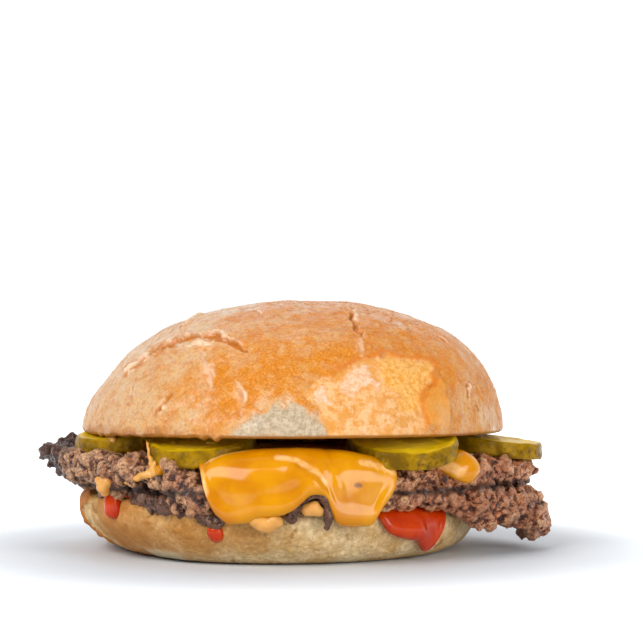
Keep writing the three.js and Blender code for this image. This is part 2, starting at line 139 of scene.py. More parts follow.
def mix(a, b, t):
    return a + (b - a) * t


def cosine(angle):
    return np.cos(np.radians(angle))


def sine(angle):
    return np.sin(np.radians(angle))


def polar(r, angle, z):
    """Points at reach r, round by angle and at height z."""
    r, angle, z = np.broadcast_arrays(r, angle, z)
    return np.stack([r * cosine(angle), r * sine(angle), z], axis=-1).astype(float)


def angle_of(points):
    return np.degrees(np.arctan2(points[:, 1], points[:, 0])) % 360


def reach_of(points):
    return np.linalg.norm(points[:, :2], axis=1)


def shares(count, low=0.0, high=1.0):
    return np.linspace(low, high, count)


def spaced(*spans):
    """Angles all the way round, from spans that each have a count, a start and an end."""
    return np.concatenate([shares(*span)[:-1] for span in spans])


def front_crowded(front, back):
    """Angles all the way round, front of them on the front half."""
    return spaced((back + 1, 0, 180), (front + 1, 180, 360))


def around(stations, angle):
    """The values of a table of stations at any angle, eased from one station to the next."""
    table = np.array(stations, float)
    knots = np.concatenate([table[-1:, 0] - 360, table[:, 0], table[:1, 0] + 360])
    rows = np.concatenate([table[-1:, 1:], table[:, 1:], table[:1, 1:]])
    turned = np.mod(angle, 360)
    after = np.clip(np.searchsorted(knots, turned, side="right"), 1, len(knots) - 1)
    share = ease(turned, knots[after - 1], knots[after])
    values = mix(rows[after - 1], rows[after], share[..., None])
    return np.moveaxis(values, -1, 0)


def scatter(cell, seed):
    """A random number from 0 to 1 for each whole-numbered cell."""
    x, y, z = np.moveaxis(cell.astype(np.int64), -1, 0)
    mixed = x * 73856093 ^ y * 19349663 ^ z * 83492791 ^ (seed * 2654435761)
    mixed = (mixed & 0xFFFFFFFF).astype(np.uint64)
    mixed = ((mixed ^ (mixed >> np.uint64(15))) * np.uint64(2246822519)) & np.uint64(0xFFFFFFFF)
    mixed = ((mixed ^ (mixed >> np.uint64(13))) * np.uint64(3266489917)) & np.uint64(0xFFFFFFFF)
    return (mixed ^ (mixed >> np.uint64(16))).astype(float) / 2**32


def noise(points, size, seed=0):
    """Smooth noise from -1 to 1 with features about size across."""
    place = points / size
    cell = np.floor(place)
    part = place - cell
    part = part * part * (3 - 2 * part)
    total = 0
    for corner in itertools.product((0, 1), repeat=3):
        weight = np.prod(np.where(corner, part, 1 - part), axis=-1)
        total = total + weight * scatter(cell + np.array(corner), seed)
    return 2 * total - 1


def fractal(points, size, seed=0, octaves=4, gain=0.5):
    """Noise of several sizes, each half as large as the one before."""
    total = 0
    weight = 1
    for octave in range(octaves):
        total = total + weight * noise(points, size / 2**octave, seed + octave)
        weight *= gain
    return total


def shifts(points, size, seed=0):
    """A smooth random shift for each point, from -1 to 1 along each axis."""
    return np.stack([noise(points, size, seed + k) for k in range(3)], -1)


def grains(points, size, seed=0):
    """Distance to the nearest and the second nearest of scattered centres, in shares of size."""
    place = points / size
    cell = np.floor(place)
    nearest = np.full(points.shape[:-1], 9.0)
    second = np.full(points.shape[:-1], 9.0)
    for offset in itertools.product((-1, 0, 1), repeat=3):
        other = cell + np.array(offset)
        centre = other + np.stack([scatter(other, seed + k) for k in (11, 12, 13)], axis=-1)
        distance = np.linalg.norm(place - centre, axis=-1)
        second = np.minimum(second, np.maximum(distance, nearest))
        nearest = np.minimum(nearest, distance)
    return nearest, second


def to_segment(places, a, b):
    """How far along from a to b the nearest point to each place is, and the way from there to the place."""
    share = np.clip((places - a) @ (b - a) / ((b - a) @ (b - a)), 0, 1)
    return share, places - a - share[:, None] * (b - a)


# Meshes

def new_mesh(name, points, faces):
    mesh = bpy.data.meshes.new(name)
    mesh.vertices.add(len(points))
    mesh.vertices.foreach_set("co", (points * MM).ravel())
    mesh.loops.add(faces.size)
    mesh.loops.foreach_set("vertex_index", faces.ravel().astype(np.int32))
    mesh.polygons.add(len(faces))
    mesh.polygons.foreach_set("loop_start", np.arange(0, faces.size, faces.shape[1], dtype=np.int32))
    mesh.update(calc_edges=True)
    mesh.validate()
    return mesh


def new_object(name, mesh):
    piece = bpy.data.objects.new(name, mesh)
    bpy.context.scene.collection.objects.link(piece)
    mesh.polygons.foreach_set("use_smooth", np.ones(len(mesh.polygons), bool))
    return piece


def of_vertices(piece, name):
    flat = np.empty(3 * len(piece.data.vertices))
    piece.data.vertices.foreach_get(name, flat)
    return flat.reshape(-1, 3)


def normals_of(piece):
    return of_vertices(piece, "normal")


def edges_of(piece):
    flat = np.empty(2 * len(piece.data.edges), np.int32)
    piece.data.edges.foreach_get("vertices", flat)
    return flat.reshape(-1, 2)


def move_points(piece, points):
    piece.data.vertices.foreach_set("co", (points * MM).ravel())
    piece.data.update()


def paint(piece, **layers):
    """Keeps numbers for each point of a piece, under their names, for its material to read."""
    for name, values in layers.items():
        layer = piece.data.attributes.new(name, "FLOAT", "POINT")
        layer.data.foreach_set("value", np.asarray(values, np.float32))


def ring_faces(rings, count):
    """Triangles between closed rings of count points each, numbered ring by ring."""
    ring, place = np.meshgrid(np.arange(rings - 1), np.arange(count), indexing="ij")
    after = (place + 1) % count
    a = ring * count + place
    b = ring * count + after
    c = (ring + 1) * count + after
    d = (ring + 1) * count + place
    return np.concatenate([np.stack([a, d, c], -1).reshape(-1, 3), np.stack([a, c, b], -1).reshape(-1, 3)])


def closed(rings, top, foot):
    """Points and faces of a closed shape: rings of points from top to foot, and those two middles."""
    count = rings.shape[1]
    points = np.concatenate([rings.reshape(-1, 3), [top, foot]])
    place = np.arange(count)
    after = (place + 1) % count
    last = (len(rings) - 1) * count
    cap = np.stack([np.full(count, len(points) - 2), place, after], -1)
    base = np.stack([np.full(count, len(points) - 1), last + after, last + place], -1)
    return points, np.concatenate([ring_faces(len(rings), count), cap, base])


def loft(angles, outline):
    """A closed round loft. outline holds [angle, place, (r, z)] from the axis round to the axis."""
    rings = np.moveaxis(polar(outline[:, 1:-1, 0], angles[:, None], outline[:, 1:-1, 1]), 1, 0)
    return closed(rings, (0, 0, outline[0, 0, 1]), (0, 0, outline[0, -1, 1]))


def outline_of(places):
    """An outline as [angle, place, (r, z)] from places that each have an r and a z for every angle."""
    return np.stack([np.stack(place, -1) for place in places], axis=1)


def outline_along(*runs):
    """An outline as [angle, place, (r, z)] from runs that each have [angle, place] for r and for z."""
    return np.concatenate([np.stack(run, -1) for run in runs], axis=1)


def ball(level):
    """The points and faces of a unit ball."""
    shape = bmesh.new()
    bmesh.ops.create_icosphere(shape, subdivisions=level, radius=1)
    points = np.array([v.co for v in shape.verts])
    faces = np.array([[v.index for v in f.verts] for f in shape.faces])
    shape.free()
    return points, faces


def turns(count, random):
    """Random rotations, as matrices."""
    q = random.normal(size=(count, 4))
    w, x, y, z = (q / np.linalg.norm(q, axis=1)[:, None]).T
    rows = [
        [1 - 2 * (y * y + z * z), 2 * (x * y - z * w), 2 * (x * z + y * w)],
        [2 * (x * y + z * w), 1 - 2 * (x * x + z * z), 2 * (y * z - x * w)],
        [2 * (x * z - y * w), 2 * (y * z + x * w), 1 - 2 * (x * x + y * y)],
    ]
    return np.moveaxis(np.array(rows), -1, 0)


def lumps(centres, radii, matrices, level=2, seed=0, rough=0.18):
    """Uneven balls, one for each centre, as one set of points and faces."""
    unit, faces = ball(level)
    shape = unit[None] * radii[:, None, :]
    wobble = 1 + rough * noise(unit[None] * 1.3 + centres[:, None, :] * 0.7, 1.0, seed)
    placed = np.einsum("nij,nkj->nki", matrices, shape * wobble[..., None]) + centres[:, None, :]
    offset = (np.arange(len(centres)) * len(unit))[:, None, None]
    return placed.reshape(-1, 3), (faces[None] + offset).reshape(-1, 3)


def join(shapes):
    """Several sets of points and faces as one."""
    points = []
    faces = []
    start = 0
    for some, their in shapes:
        points.append(some)
        faces.append(their + start)
        start += len(some)
    return np.concatenate(points), np.concatenate(faces)


def skin(name, points, faces, voxel, soften=2):
    """One closed skin round overlapping closed shapes, without its loose scraps."""
    raw = new_object("raw_" + name, new_mesh("raw_" + name, points, faces))
    wrap = raw.modifiers.new("wrap", "REMESH")
    wrap.mode = "VOXEL"
    wrap.voxel_size = voxel * MM
    wrap.adaptivity = 0.04 * MM
    smooth = raw.modifiers.new("smooth", "SMOOTH")
    smooth.factor = 0.5
    smooth.iterations = soften
    dressed = raw.evaluated_get(bpy.context.evaluated_depsgraph_get())
    mesh = bpy.data.meshes.new_from_object(dressed)
    mesh.name = name
    bpy.data.objects.remove(raw)
    return keep_largest(new_object(name, mesh))


def keep_largest(piece):
    """Drops every shell but the largest."""
    edges = edges_of(piece)
    label = np.arange(len(piece.data.vertices))
    while True:
        low = np.minimum(label[edges[:, 0]], label[edges[:, 1]])
        new = label.copy()
        np.minimum.at(new, edges[:, 0], low)
        np.minimum.at(new, edges[:, 1], low)
        new = new[new]
        if np.array_equal(new, label):
            break
        label = new
    main = np.bincount(label).argmax()
    stray = np.flatnonzero(label != main)
    if len(stray):
        shape = bmesh.new()
        shape.from_mesh(piece.data)
        shape.verts.ensure_lookup_table()
        bmesh.ops.delete(shape, geom=[shape.verts[i] for i in stray], context="VERTS")
        shape.to_mesh(piece.data)
        shape.free()
    return piece


# Materials

def add_node(tree, kind, inputs=None, **settings):
    made = tree.nodes.new(kind)
    for key, value in settings.items():
        setattr(made, key, value)
    for key, value in (inputs or {}).items():
        if isinstance(value, bpy.types.NodeSocket):
            tree.links.new(value, made.inputs[key])
        else:
            made.inputs[key].default_value = value
    return made


def new_material(name, **fixed):
    """A material with one principled shader whose named sockets are set."""
    material = bpy.data.materials.new(name)
    material.use_nodes = True
    shader = material.node_tree.nodes["Principled BSDF"]
    for key, value in fixed.items():
        shader.inputs[key.replace("_", " ")].default_value = value
    return material, material.node_tree, shader


def feed(shader, socket, value):
    value.id_data.links.new(value, shader.inputs[socket])


def painted(tree, name, strength=1):
    """A value that is painted on the points of a piece, or a share of it."""
    value = add_node(tree, "ShaderNodeAttribute", attribute_name=name).outputs["Fac"]
    return value if strength == 1 else times(value, strength)


def mottle(tree, size, detail=3, roughness=0.6, seed=0):
    """Noise from 0 to 1 with features about size millimetres across."""
    place = add_node(tree, "ShaderNodeTexCoord").outputs["Object"]
    moved = add_node(tree, "ShaderNodeVectorMath", {0: place, 1: (seed * 0.37, seed * 0.11, seed * 0.23)})
    inputs = {
        "Vector": moved.outputs[0], "Scale": 1 / (size * MM), "Detail": detail, "Roughness": roughness,
    }
    return add_node(tree, "ShaderNodeTexNoise", inputs).outputs["Fac"]


def remap(value, low, high, to_low=0.0, to_high=1.0):
    inputs = {"Value": value, "From Min": low, "From Max": high, "To Min": to_low, "To Max": to_high}
    return add_node(value.id_data, "ShaderNodeMapRange", inputs, interpolation_type="SMOOTHSTEP").outputs[0]


def compute(operation, a, b, clamp=False):
    node = add_node(a.id_data, "ShaderNodeMath", {0: a, 1: b}, operation=operation, use_clamp=clamp)
    return node.outputs[0]


def times(a, b):
    return compute("MULTIPLY", a, b)


def plus(a, b, clamp=False):
    return compute("ADD", a, b, clamp)


def blend(share, a, b):
    """One colour turning into another."""
    node = add_node(share.id_data, "ShaderNodeMix", {0: share}, data_type="RGBA")
    for place, colour in ((6, a), (7, b)):
        if isinstance(colour, bpy.types.NodeSocket):
            share.id_data.links.new(colour, node.inputs[place])
        else:
            node.inputs[place].default_value = (*colour, 1)
    return node.outputs[2]


def layered(colour, *layers):
    """A colour under painted layers that each have a name, a strength and a colour."""
    for name, strength, tint in layers:
        colour = blend(painted(colour.id_data, name, strength), colour, tint)
    return colour


def roughen(shader, height, distance, strength=1.0):
    inputs = {"Height": height, "Distance": distance * MM, "Strength": strength}
    feed(shader, "Normal", add_node(height.id_data, "ShaderNodeBump", inputs).outputs[0])


def give(piece, material):
    piece.data.materials.clear()
    piece.data.materials.append(material)


def dress(piece, node, material):
    """Puts a finished piece in the burger, in the place of a solid if one is named."""
    give(piece, material)
    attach(piece, "root")
    if node:
        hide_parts(node)


# Heel

def heel_reach(angle):
    wave = 0.5 * np.sin(3 * np.radians(angle) + 1) + 0.3 * np.sin(7 * np.radians(angle))
    return HEEL_RADIUS + HEEL_OFFSET_X * cosine(angle) + wave


def heel_edge_z(angle):
    return HEEL_HEIGHT - HEEL_LEAN * cosine(angle)


def heel_side(z, angle):
    """How far the heel's side reaches at height z."""
    base = HEEL_BASE_RADIUS + 0.6 * HEEL_OFFSET_X * cosine(angle)
    swell = np.clip(1 - z / (HEEL_WIDEST_SHARE * heel_edge_z(angle)), 0, 1)
    return mix(base, heel_reach(angle), np.sqrt(1 - swell * swell))


def tilt(r, angle):
    return -STACK_TILT * r * cosine(angle)


def heel_top(r, angle):
    inner = HEEL_TOP_Z + tilt(r, angle)
    reach = heel_reach(angle)
    return mix(inner, heel_edge_z(angle), ease(r, 0.62 * reach, reach))


def crust_wrinkles(points, seed):
    """Shallow wrinkles and dents of a baked crust, in millimetres."""
    dents = 0.35 * fractal(points, 14, seed, 2) + 0.16 * fractal(points, 4.5, seed + 5, 2)
    folds = 0.16 * np.exp(-((fractal(points * (1, 1, 1.5), 7, seed + 7, 3) / 0.07) ** 2))
    return dents - folds + 0.07 * fractal(points, 1.3, seed + 9, 2)


# Flakes of loose crust on the heel's left: angle, height and how far they stand out
HEEL_FLAKES = [(194, 4.2, 0.8), (200, 3, 0.5), (187, 7, 0.5), (207, 5.5, 0.4)]


def heel_outline(angle):
    """The heel's outline at every angle: its top, its corner, its side and its base."""
    edge = heel_edge_z(angle)
    reach = heel_reach(angle)
    top_r = reach * np.concatenate([[0], shares(14, 0.5, 0.955)])[None]
    bend = shares(9, 80, 5)[None]
    corner_r = reach - HEEL_CORNER + HEEL_CORNER * cosine(bend)
    corner_z = edge * HEEL_WIDEST_SHARE + (edge * (1 - HEEL_WIDEST_SHARE) - 0.05) * sine(bend)
    side_z = edge * HEEL_WIDEST_SHARE * cosine(shares(70, 1, 90)[None])
    base_r = heel_side(0 * angle, angle) * np.array([[0.97, 0.8, 0.4, 0]])
    return outline_along(
        (top_r, heel_top(top_r, angle)), (corner_r, corner_z), (heel_side(side_z, angle), side_z),
        (base_r, 0 * base_r),
    )


def make_heel():
    angles = front_crowded(300, 160)
    points, faces = loft(angles, heel_outline(angles[:, None]))
    piece = new_object("bun_heel", new_mesh("bun_heel", points, faces))
    angle = angle_of(points)
    z = points[:, 2]
    push = crust_wrinkles(points, 30) * ease(z, 0.2, 2.5)
    # the browned crust ends in a broken edge on the left, and a pale strip shows low beside it
    border = 200 + 6 * noise(points * (0, 0, 1), 3.4, 71) + 2 * fractal(points, 1.6, 72, 2)
    kept = 1 - ease(angle, border - 0.7, border + 0.7)
    bare = (1 - kept) * (1 - ease(angle, 208, 216)) * ease(z, 1, 4)
    push += (0.45 * kept * ease(angle, 180, 190) - 0.3 * bare) * ease(z, 2, 6)
    low_strip = band(angle, 222, 226, 236, 242) * (1 - ease(z, 2.4, 3.4))
    push += 0.35 * low_strip * ease(z, 0.1, 1)
    for centre, height, out in HEEL_FLAKES:
        push += out * np.exp(-(((angle - centre) / 1.5) ** 2) - ((z - height) / 0.7) ** 2)
    moved = points + normals_of(piece) * push[:, None]
    tuck = band(angle, 178, 196, 224, 246) * (1 - ease(z, 0, 10))
    moved[:, :2] *= 1 - 0.06 * tuck[:, None]
    moved[:, 2] = np.maximum(moved[:, 2], 0)
    move_points(piece, moved)
    browned = kept * ease(angle, 150, 184) * (0.75 + 0.6 * fractal(points * (1, 1, 0.5), 5, 71, 3))
    browned += 0.6 * (1 - ease(angle, 205, 262)) * (1 - bare)
    cream = 0.9 * ease(angle, 248, 285) + 0.5 * (1 - ease(z, 1.5, 5)) + 0.35 * fractal(points, 9, 33, 3)
    cream += 0.6 * bare * (1 + fractal(points * (1, 1, 0.3), 1.6, 34, 2))
    paint(piece, crust=np.clip(browned, 0, 1), strip=low_strip, cream=np.clip(cream, 0, 1))
    dress(piece, "heel", heel_material())


def heel_material():
    material, tree, shader = new_material(
        "bun_heel", Roughness=0.6, Subsurface_Weight=0.1, Subsurface_Scale=0.002, Specular_IOR_Level=0.2
    )
    cloud = remap(mottle(tree, 9, 4, 0.65, 1), 0.36, 0.64)
    fine = remap(mottle(tree, 1.3, 4, 0.75, 2), 0.35, 0.68)
    stains = remap(mottle(tree, 5, 4, 0.65, 5), 0.58, 0.7)
    cream = blend(cloud, (0.76, 0.49, 0.19), (0.95, 0.74, 0.42))
    colour = layered(blend(cloud, (0.52, 0.24, 0.055), (0.7, 0.4, 0.14)), ("cream", 1, cream))
    colour = blend(times(fine, 0.5), colour, (0.36, 0.15, 0.03))
    colour = blend(times(stains, 0.75), colour, (0.36, 0.13, 0.015))
    colour = layered(colour, ("crust", 0.9, (0.52, 0.16, 0.008)), ("strip", 1, (0.66, 0.52, 0.32)))
    feed(shader, "Base Color", colour)
    roughen(shader, plus(mottle(tree, 1.8, 5, 0.7, 3), times(fine, 0.4)), 0.8, 0.9)
    return material


# Crown

def crown_reach(angle):
    return CROWN_RADIUS + 0.4 * np.sin(2 * np.radians(angle) + 0.6) + 0.35 * np.sin(5 * np.radians(angle))


def crown_power(angle):
    return 2.15 + 0.25 * cosine(angle)


def crown_slope(angle, z):
    """How much slimmer the crown is at its shoulder than a plain dome, most on the left."""
    low_left = 1.7 * np.clip(cosine(angle - 190), 0, 1) ** 3 * (1 - ease(z, 32, 38))
    return (2.2 - 1.3 * cosine(angle)) * np.exp(-(((z - 43) / 11) ** 2)) * ease(z, 30, 37) + low_left


def on_crown(track):
    """Points on the crown from a list of angle and height."""
    angle, z = np.array(track, float).T
    power = crown_power(angle)
    up = np.clip((z - CROWN_SHOULDER_Z) / (BURGER_HEIGHT - CROWN_SHOULDER_Z), 0, 1)
    return polar(crown_reach(angle) * (1 - up**power) ** (1 / power) - crown_slope(angle, z), angle, z)


# Marks on the crust: gape, depth, height of the lip, how pale it is inside, and a track of angle and height
TEARS = {
    "long tear": (1.4, 1, 0.55, 0, [
        (216.4, 47), (220.5, 49.4), (226.9, 51.2), (231.6, 52.9), (242.5, 53.5), (250.1, 51.7),
        (257.4, 49.5)]),
    "its lower lip": (0.5, 0.2, 0.9, 1, [(222.2, 49.8), (234.9, 50.2), (242.5, 50.8), (247, 51.3)]),
    "side tear": (0.95, 0.55, 0.4, 0.85, [(241.8, 49.1), (245.8, 46.8), (248, 44.2), (250, 41.2)]),
    "side ridge": (0.4, 0.4, 0.5, 0.7, [(256.7, 42.4), (258.1, 39.9), (258.8, 37.6), (258.7, 34.3)]),
    "short slit": (0.5, 0.5, 0.25, 0, [(223.2, 41.7), (222.7, 39.6)]),
    "long slit": (0.9, 0.7, 0.4, 0, [(238.3, 39.6), (236.9, 37.1), (235.3, 34.3)]),
    "left step": (0.6, 1, 1.1, 0.3, [(205, 59.5), (214.2, 57), (225.2, 54)]),
    "crease": (0.55, 0.9, 0.5, 0, [(318.8, 61.8), (297.9, 57.8), (294.5, 54.4), (295.6, 52.7)]),
    "its tail": (0.3, 0.2, 0.4, 0.7, [(294.5, 52.7), (292.3, 50.5), (291.8, 47.7)]),
    "right slit": (0.35, 0.6, 0.3, 0, [(331.1, 42.6), (326.9, 41.4), (324.5, 36.7)]),
    "small slit": (0.35, 0.6, 0.4, 0, [(329.6, 38.1), (329.2, 35.2)]),
    "top gash": (0.4, 0.3, 0.5, 0.5, [(247.7, 60.1), (255.9, 58.6), (259.2, 57.4)]),
    "right bruise": (0.8, 0.2, 0.1, 0, [(329, 53.7), (329.8, 51.2)]),
    "back tear": (1.3, 1, 0.8, 0, [(60, 50), (72, 52.5), (86, 51), (97, 53)]),
    "back slit": (0.7, 0.8, 0.3, 0.3, [(118, 42), (124, 38), (126, 34)]),
    "back crease": (0.6, 0.9, 0.5, 0, [(150, 60), (146, 56), (149, 51)]),
    "side crease": (0.5, 0.8, 0.4, 0, [(10, 58), (14, 53), (11, 49)]),
}
# Patches, each an outline of angle and height
PEELED = [
    (273.7, 39), (276.2, 40.8), (279.4, 43.5), (283.7, 44.7), (289.1, 46.5), (294.6, 48.2), (300.3, 48.9),
    (305.3, 48.5), (309.6, 48), (316.4, 47.4), (312.7, 42.6), (307.5, 40.3), (306.3, 38), (306.5, 35),
    (306.7, 31.6), (302.4, 28), (281, 28), (278.9, 33.6), (277.5, 36.8),
]
# Pale patches on the glazed crust, painted highlights where it mirrors the light
GLOSSY_RIGHT = [
    (283.9, 40.6), (283.8, 41.9), (288.4, 45.3), (291.9, 46.5), (294.2, 46.5), (293.4, 43.5), (294.8, 41.7),
    (294.1, 39.6), (292.3, 41.2), (289.5, 40.6), (287.3, 39.7),
]
GLOSSY_LEFT = [
    (276.6, 39.7), (280, 41.7), (280.4, 40.6), (279.8, 39), (281.7, 37), (279.7, 37.2), (277.3, 38.3),
]
YELLOW_CRUMB = [
    (296.1, 47), (301.2, 48.7), (308.7, 48.3), (316.1, 47.1), (313.3, 43.6), (310, 40.5), (307.1, 38.9),
    (305.6, 35.9), (300.5, 34.4), (300.1, 38.9), (296.7, 41.2),
]
ROUGH_LEFT = [(209, 45), (213, 50.4), (222, 53.2), (229.5, 54), (231, 50.8), (222, 47.4), (215, 43.4)]
LOOSE_FLAKE = [(308.1, 38.9), (313.9, 42.6), (316.2, 41.9), (313.9, 30.7), (307.3, 31.3), (306.7, 36.6)]
PALE_CRUMB = [
    (255.4, 29), (258, 32.6), (260.7, 34.1), (264.3, 35.2), (267.8, 37.2), (271.5, 37.2), (276, 36.1),
    (279.4, 33), (281, 29),
]
# Flakes of crust that hang from the rim: angle and how far down
RIM_FLAKES = [(204, 0.4), (211.5, 0.7), (215.6, 0.4), (249.6, 0.5), (253, 0.9)]
BACK_PEEL = [(70, 30), (68, 36), (76, 40), (88, 41), (95, 37), (98, 30)]


def near_track(points, normals, track):
    """Distance to a track, which side of it a point is on, and how far along it is."""
    line = on_crown(track)
    best = np.full(len(points), 1e9)
    side = np.zeros(len(points))
    along = np.zeros(len(points))
    for k, (a, b) in enumerate(zip(line[:-1], line[1:])):
        share, away = to_segment(points, a, b)
        distance = np.linalg.norm(away, axis=1)
        closer = distance < best
        hand = np.einsum("ij,ij->i", np.cross(b - a, away), normals)
        best = np.where(closer, distance, best)
        side = np.where(closer, np.sign(hand), side)
        along = np.where(closer, (k + share) / (len(line) - 1), along)
    return best, side, along


def in_patch(points, outline, seed, ragged=0.7):
    """Depth inside a patch of the crown, in millimetres, with a ragged edge: above 0 is inside."""
    scale = math.radians(1) * CROWN_RADIUS
    place = np.stack([angle_of(points) * scale, points[:, 2]], -1)
    corners = np.array(outline, float) * (scale, 1)
    inside = np.zeros(len(points), bool)
    distance = np.full(len(points), 1e9)
    for a, b in zip(corners, np.roll(corners, -1, axis=0)):
        crosses = (a[1] > place[:, 1]) != (b[1] > place[:, 1])
        height = b[1] - a[1] if b[1] != a[1] else 1e-9
        inside ^= crosses & (place[:, 0] < (b[0] - a[0]) * (place[:, 1] - a[1]) / height + a[0])
        distance = np.minimum(distance, np.linalg.norm(to_segment(place, a, b)[1], axis=1))
    return np.where(inside, distance, -distance) + ragged * fractal(points, 2.6, seed, 3)


def tear(points, normals, track, gape, depth, lip, seed):
    """A tear in the crust: how far it moves the surface, how deep inside it is and how much lip it has."""
    distance, side, along = near_track(points, normals, track)
    ends = np.sqrt(np.clip(np.sin(np.pi * np.clip(along, 0.03, 0.97)), 0, 1))
    wide = gape * ends * np.clip(1 + 0.7 * fractal(points, 4, seed, 3), 0.15, 1.8)
    inside = 1 - ease(distance, 0.65 * wide, wide + 0.1)
    rim = ease(distance, 0.6 * wide, wide + 0.1) * (1 - ease(distance, wide + 0.2, wide + 1.1)) * ends
    rim = rim * (0.65 + 0.35 * side) * ease(fractal(points, 3, seed + 3, 3), -0.7, 0.3)
    return lip * rim - depth * inside, inside, rim


def torn_crust(points, bent, normals):
    """How far tears and gashes move the crust, and where they are deep and where pale."""
    push = np.zeros(len(points))
    deep = np.zeros(len(points))
    pale = np.zeros(len(points))
    for number, (gape, depth, lip, bare, track) in enumerate(TEARS.values()):
        shift, inside, rim = tear(bent, normals, track, gape, depth, lip, 100 + 7 * number)
        push += shift
        deep = np.maximum(deep, inside * (1 - bare))
        pale = np.maximum(pale, np.maximum(rim, inside * bare))
    gashed = ease(in_patch(bent, ROUGH_LEFT, 37, 0.8), -0.6, 1.2)
    rugged = fractal(points, 2.2, 39, 3)
    push += 0.9 * gashed * rugged
    deep = np.maximum(deep, gashed * ease(-rugged, -0.1, 0.3))
    pale = np.maximum(pale, gashed * ease(rugged, 0.1, 0.5))
    return push, deep, pale


def crown_wrinkles(points):
    """Swellings, grain and wrinkles of the crown's crust, in millimetres."""
    dents = 0.5 * fractal(points, 17, 3, 2) + 0.18 * fractal(points, 5, 8, 3)
    dents += 0.11 * fractal(points, 1.6, 15, 2)
    folds = np.exp(-((fractal(points * (1, 1, 1.6), 8, 17, 3) / 0.05) ** 2))
    fine_folds = np.exp(-((fractal(points * (1, 1, 1.8), 4.5, 19, 3) / 0.06) ** 2))
    return dents - 0.2 * folds - 0.22 * fine_folds * ease(points[:, 2], 42, 56)


def crown_outline(angle):
    """The crown's outline at every angle: its dome, its lip and its underside."""
    reach = crown_reach(angle)
    power = crown_power(angle)
    rise = BURGER_HEIGHT - CROWN_SHOULDER_Z
    turn = np.concatenate([[0], shares(180, 3, 90)])[None]
    dome_z = CROWN_SHOULDER_Z + rise * np.clip(cosine(turn), 0, 1) ** (2 / power)
    dome_r = reach * sine(turn) ** (2 / power) - crown_slope(angle, dome_z) * ease(turn, 0, 20)
    inner = reach - crown_slope(angle, CROWN_RIM_Z) - RIM_BEND_RADIUS
    bend = shares(16, 2, 90)[None]
    lip_z = RIM_BEND_Z - (RIM_BEND_Z - CROWN_RIM_Z) * sine(bend) + 0 * reach
    under_r = inner * shares(18, 0.985, 0)[None]
    under_z = mix(CROWN_UNDERSIDE_Z + tilt(under_r, angle), CROWN_RIM_Z, ease(under_r, 38, reach - 2))
    under_z = under_z - 0.7 * (1 - ease(under_r, 18, 28))
    return outline_along(
        (dome_r, dome_z), (inner + RIM_BEND_RADIUS * cosine(bend), lip_z), (under_r, under_z),
    )


def make_crown():
    angles = front_crowded(400, 160)
    points, faces = loft(angles, crown_outline(angles[:, None]))
    piece = new_object("bun_crown", new_mesh("bun_crown", points, faces))
    normals = normals_of(piece)
    angle = angle_of(points)
    reach = reach_of(points)
    z = points[:, 2]
    bent = points + 0.7 * shifts(points, 2.6, 60) + 0.35 * shifts(points, 1, 64)
    torn, deep, pale = torn_crust(points, bent, normals)
    peeled = in_patch(bent, PEELED, 41, 0.5)
    flake = in_patch(bent, LOOSE_FLAKE, 47, 0.3)
    back_peel = in_patch(points, BACK_PEEL, 53)
    crumb = ease(in_patch(points, PALE_CRUMB, 61, 1.2), -0.6, 1.2)
    yellow = ease(in_patch(points, YELLOW_CRUMB, 67, 1), -0.5, 1) + ease(back_peel, 0, 1)
    # pale patches that are painted highlights on the glazed crust
    glossy = np.maximum(in_patch(bent, GLOSSY_RIGHT, 73, 0.6), in_patch(bent, GLOSSY_LEFT, 79, 0.6))
    glossy = ease(glossy, -0.2, 0.3)
    # the crust's torn edge at the lower left
    uneven = z + 1.2 * noise(points, 3.4, 99)
    ragged = band(angle, 192, 200, 248, 256) * (1 - ease(uneven, 30.6, 32.2))
    pores, _ = grains(points, 1.5, 5)
    push = crown_wrinkles(points) + torn + 0.7 * ragged * fractal(points * (1, 1, 0.4), 2, 91, 3)
    push -= 0.55 * ease(peeled, -0.25, 0.35) + 0.5 * ease(back_peel, -0.25, 0.35)
    push += 0.85 * ease(flake, -0.2, 0.2) - crumb * (0.15 + 0.25 * (1 - ease(pores, 0.1, 0.6)))
    push *= ease(z, CROWN_RIM_Z - 0.5, CROWN_RIM_Z + 1.5) * ease(reach + 3 * (z - CROWN_RIM_Z), 50, 56)
    push += 0.2 * glossy - 0.12 * yellow * ease(fractal(points, 2, 83, 3), -0.2, 0.5)
    moved = points + normals * push[:, None]
    drop = 0.25 * ragged * fractal(points * (1, 1, 0.1), 1.8, 95, 3)
    for centre, down in RIM_FLAKES:
        drop -= down * np.clip(1 - np.abs(angle - centre) / 1.3, 0, 1)
    moved[:, 2] += drop * (1 - ease(z, 29.6, 31.6)) * ease(reach, 49, 51)
    moved[:, 2] = np.minimum(moved[:, 2], BURGER_HEIGHT + 0.3)
    move_points(piece, moved)
    upper_right = ease(z + 0.5 * (angle - 290), 38, 44)
    paint(
        piece,
        deep=deep,
        pale=pale,
        high=ease(z, 44, 60) * mix(1, 0.3, ease(points[:, 1], -20, 10)),
        peeled=np.clip(ease(peeled, -0.2, 0.4) + ease(back_peel, -0.2, 0.4), 0, 1),
        edge=np.clip(1.3 - np.abs(peeled + 0.45) / 0.75, 0, 1) * upper_right,
        flake=ease(flake, -0.2, 0.3),
        torn=ragged * mix(0.45, 1, ease(fractal(points, 1.8, 97, 3), -0.3, 0.3)),
        crumb=crumb,
        yellow=np.clip(yellow, 0, 1),
        glossy=glossy,
        toast=crown_toast(points, angle),
        # the lip and underside darker: partly toasted crust, partly painted shade beneath the crown
        under=1 - ease(z, CROWN_RIM_Z + 0.35, CROWN_RIM_Z + 1 + 0.3 * noise(points, 4, 7)),
    )
    dress(piece, "crown", crown_material())


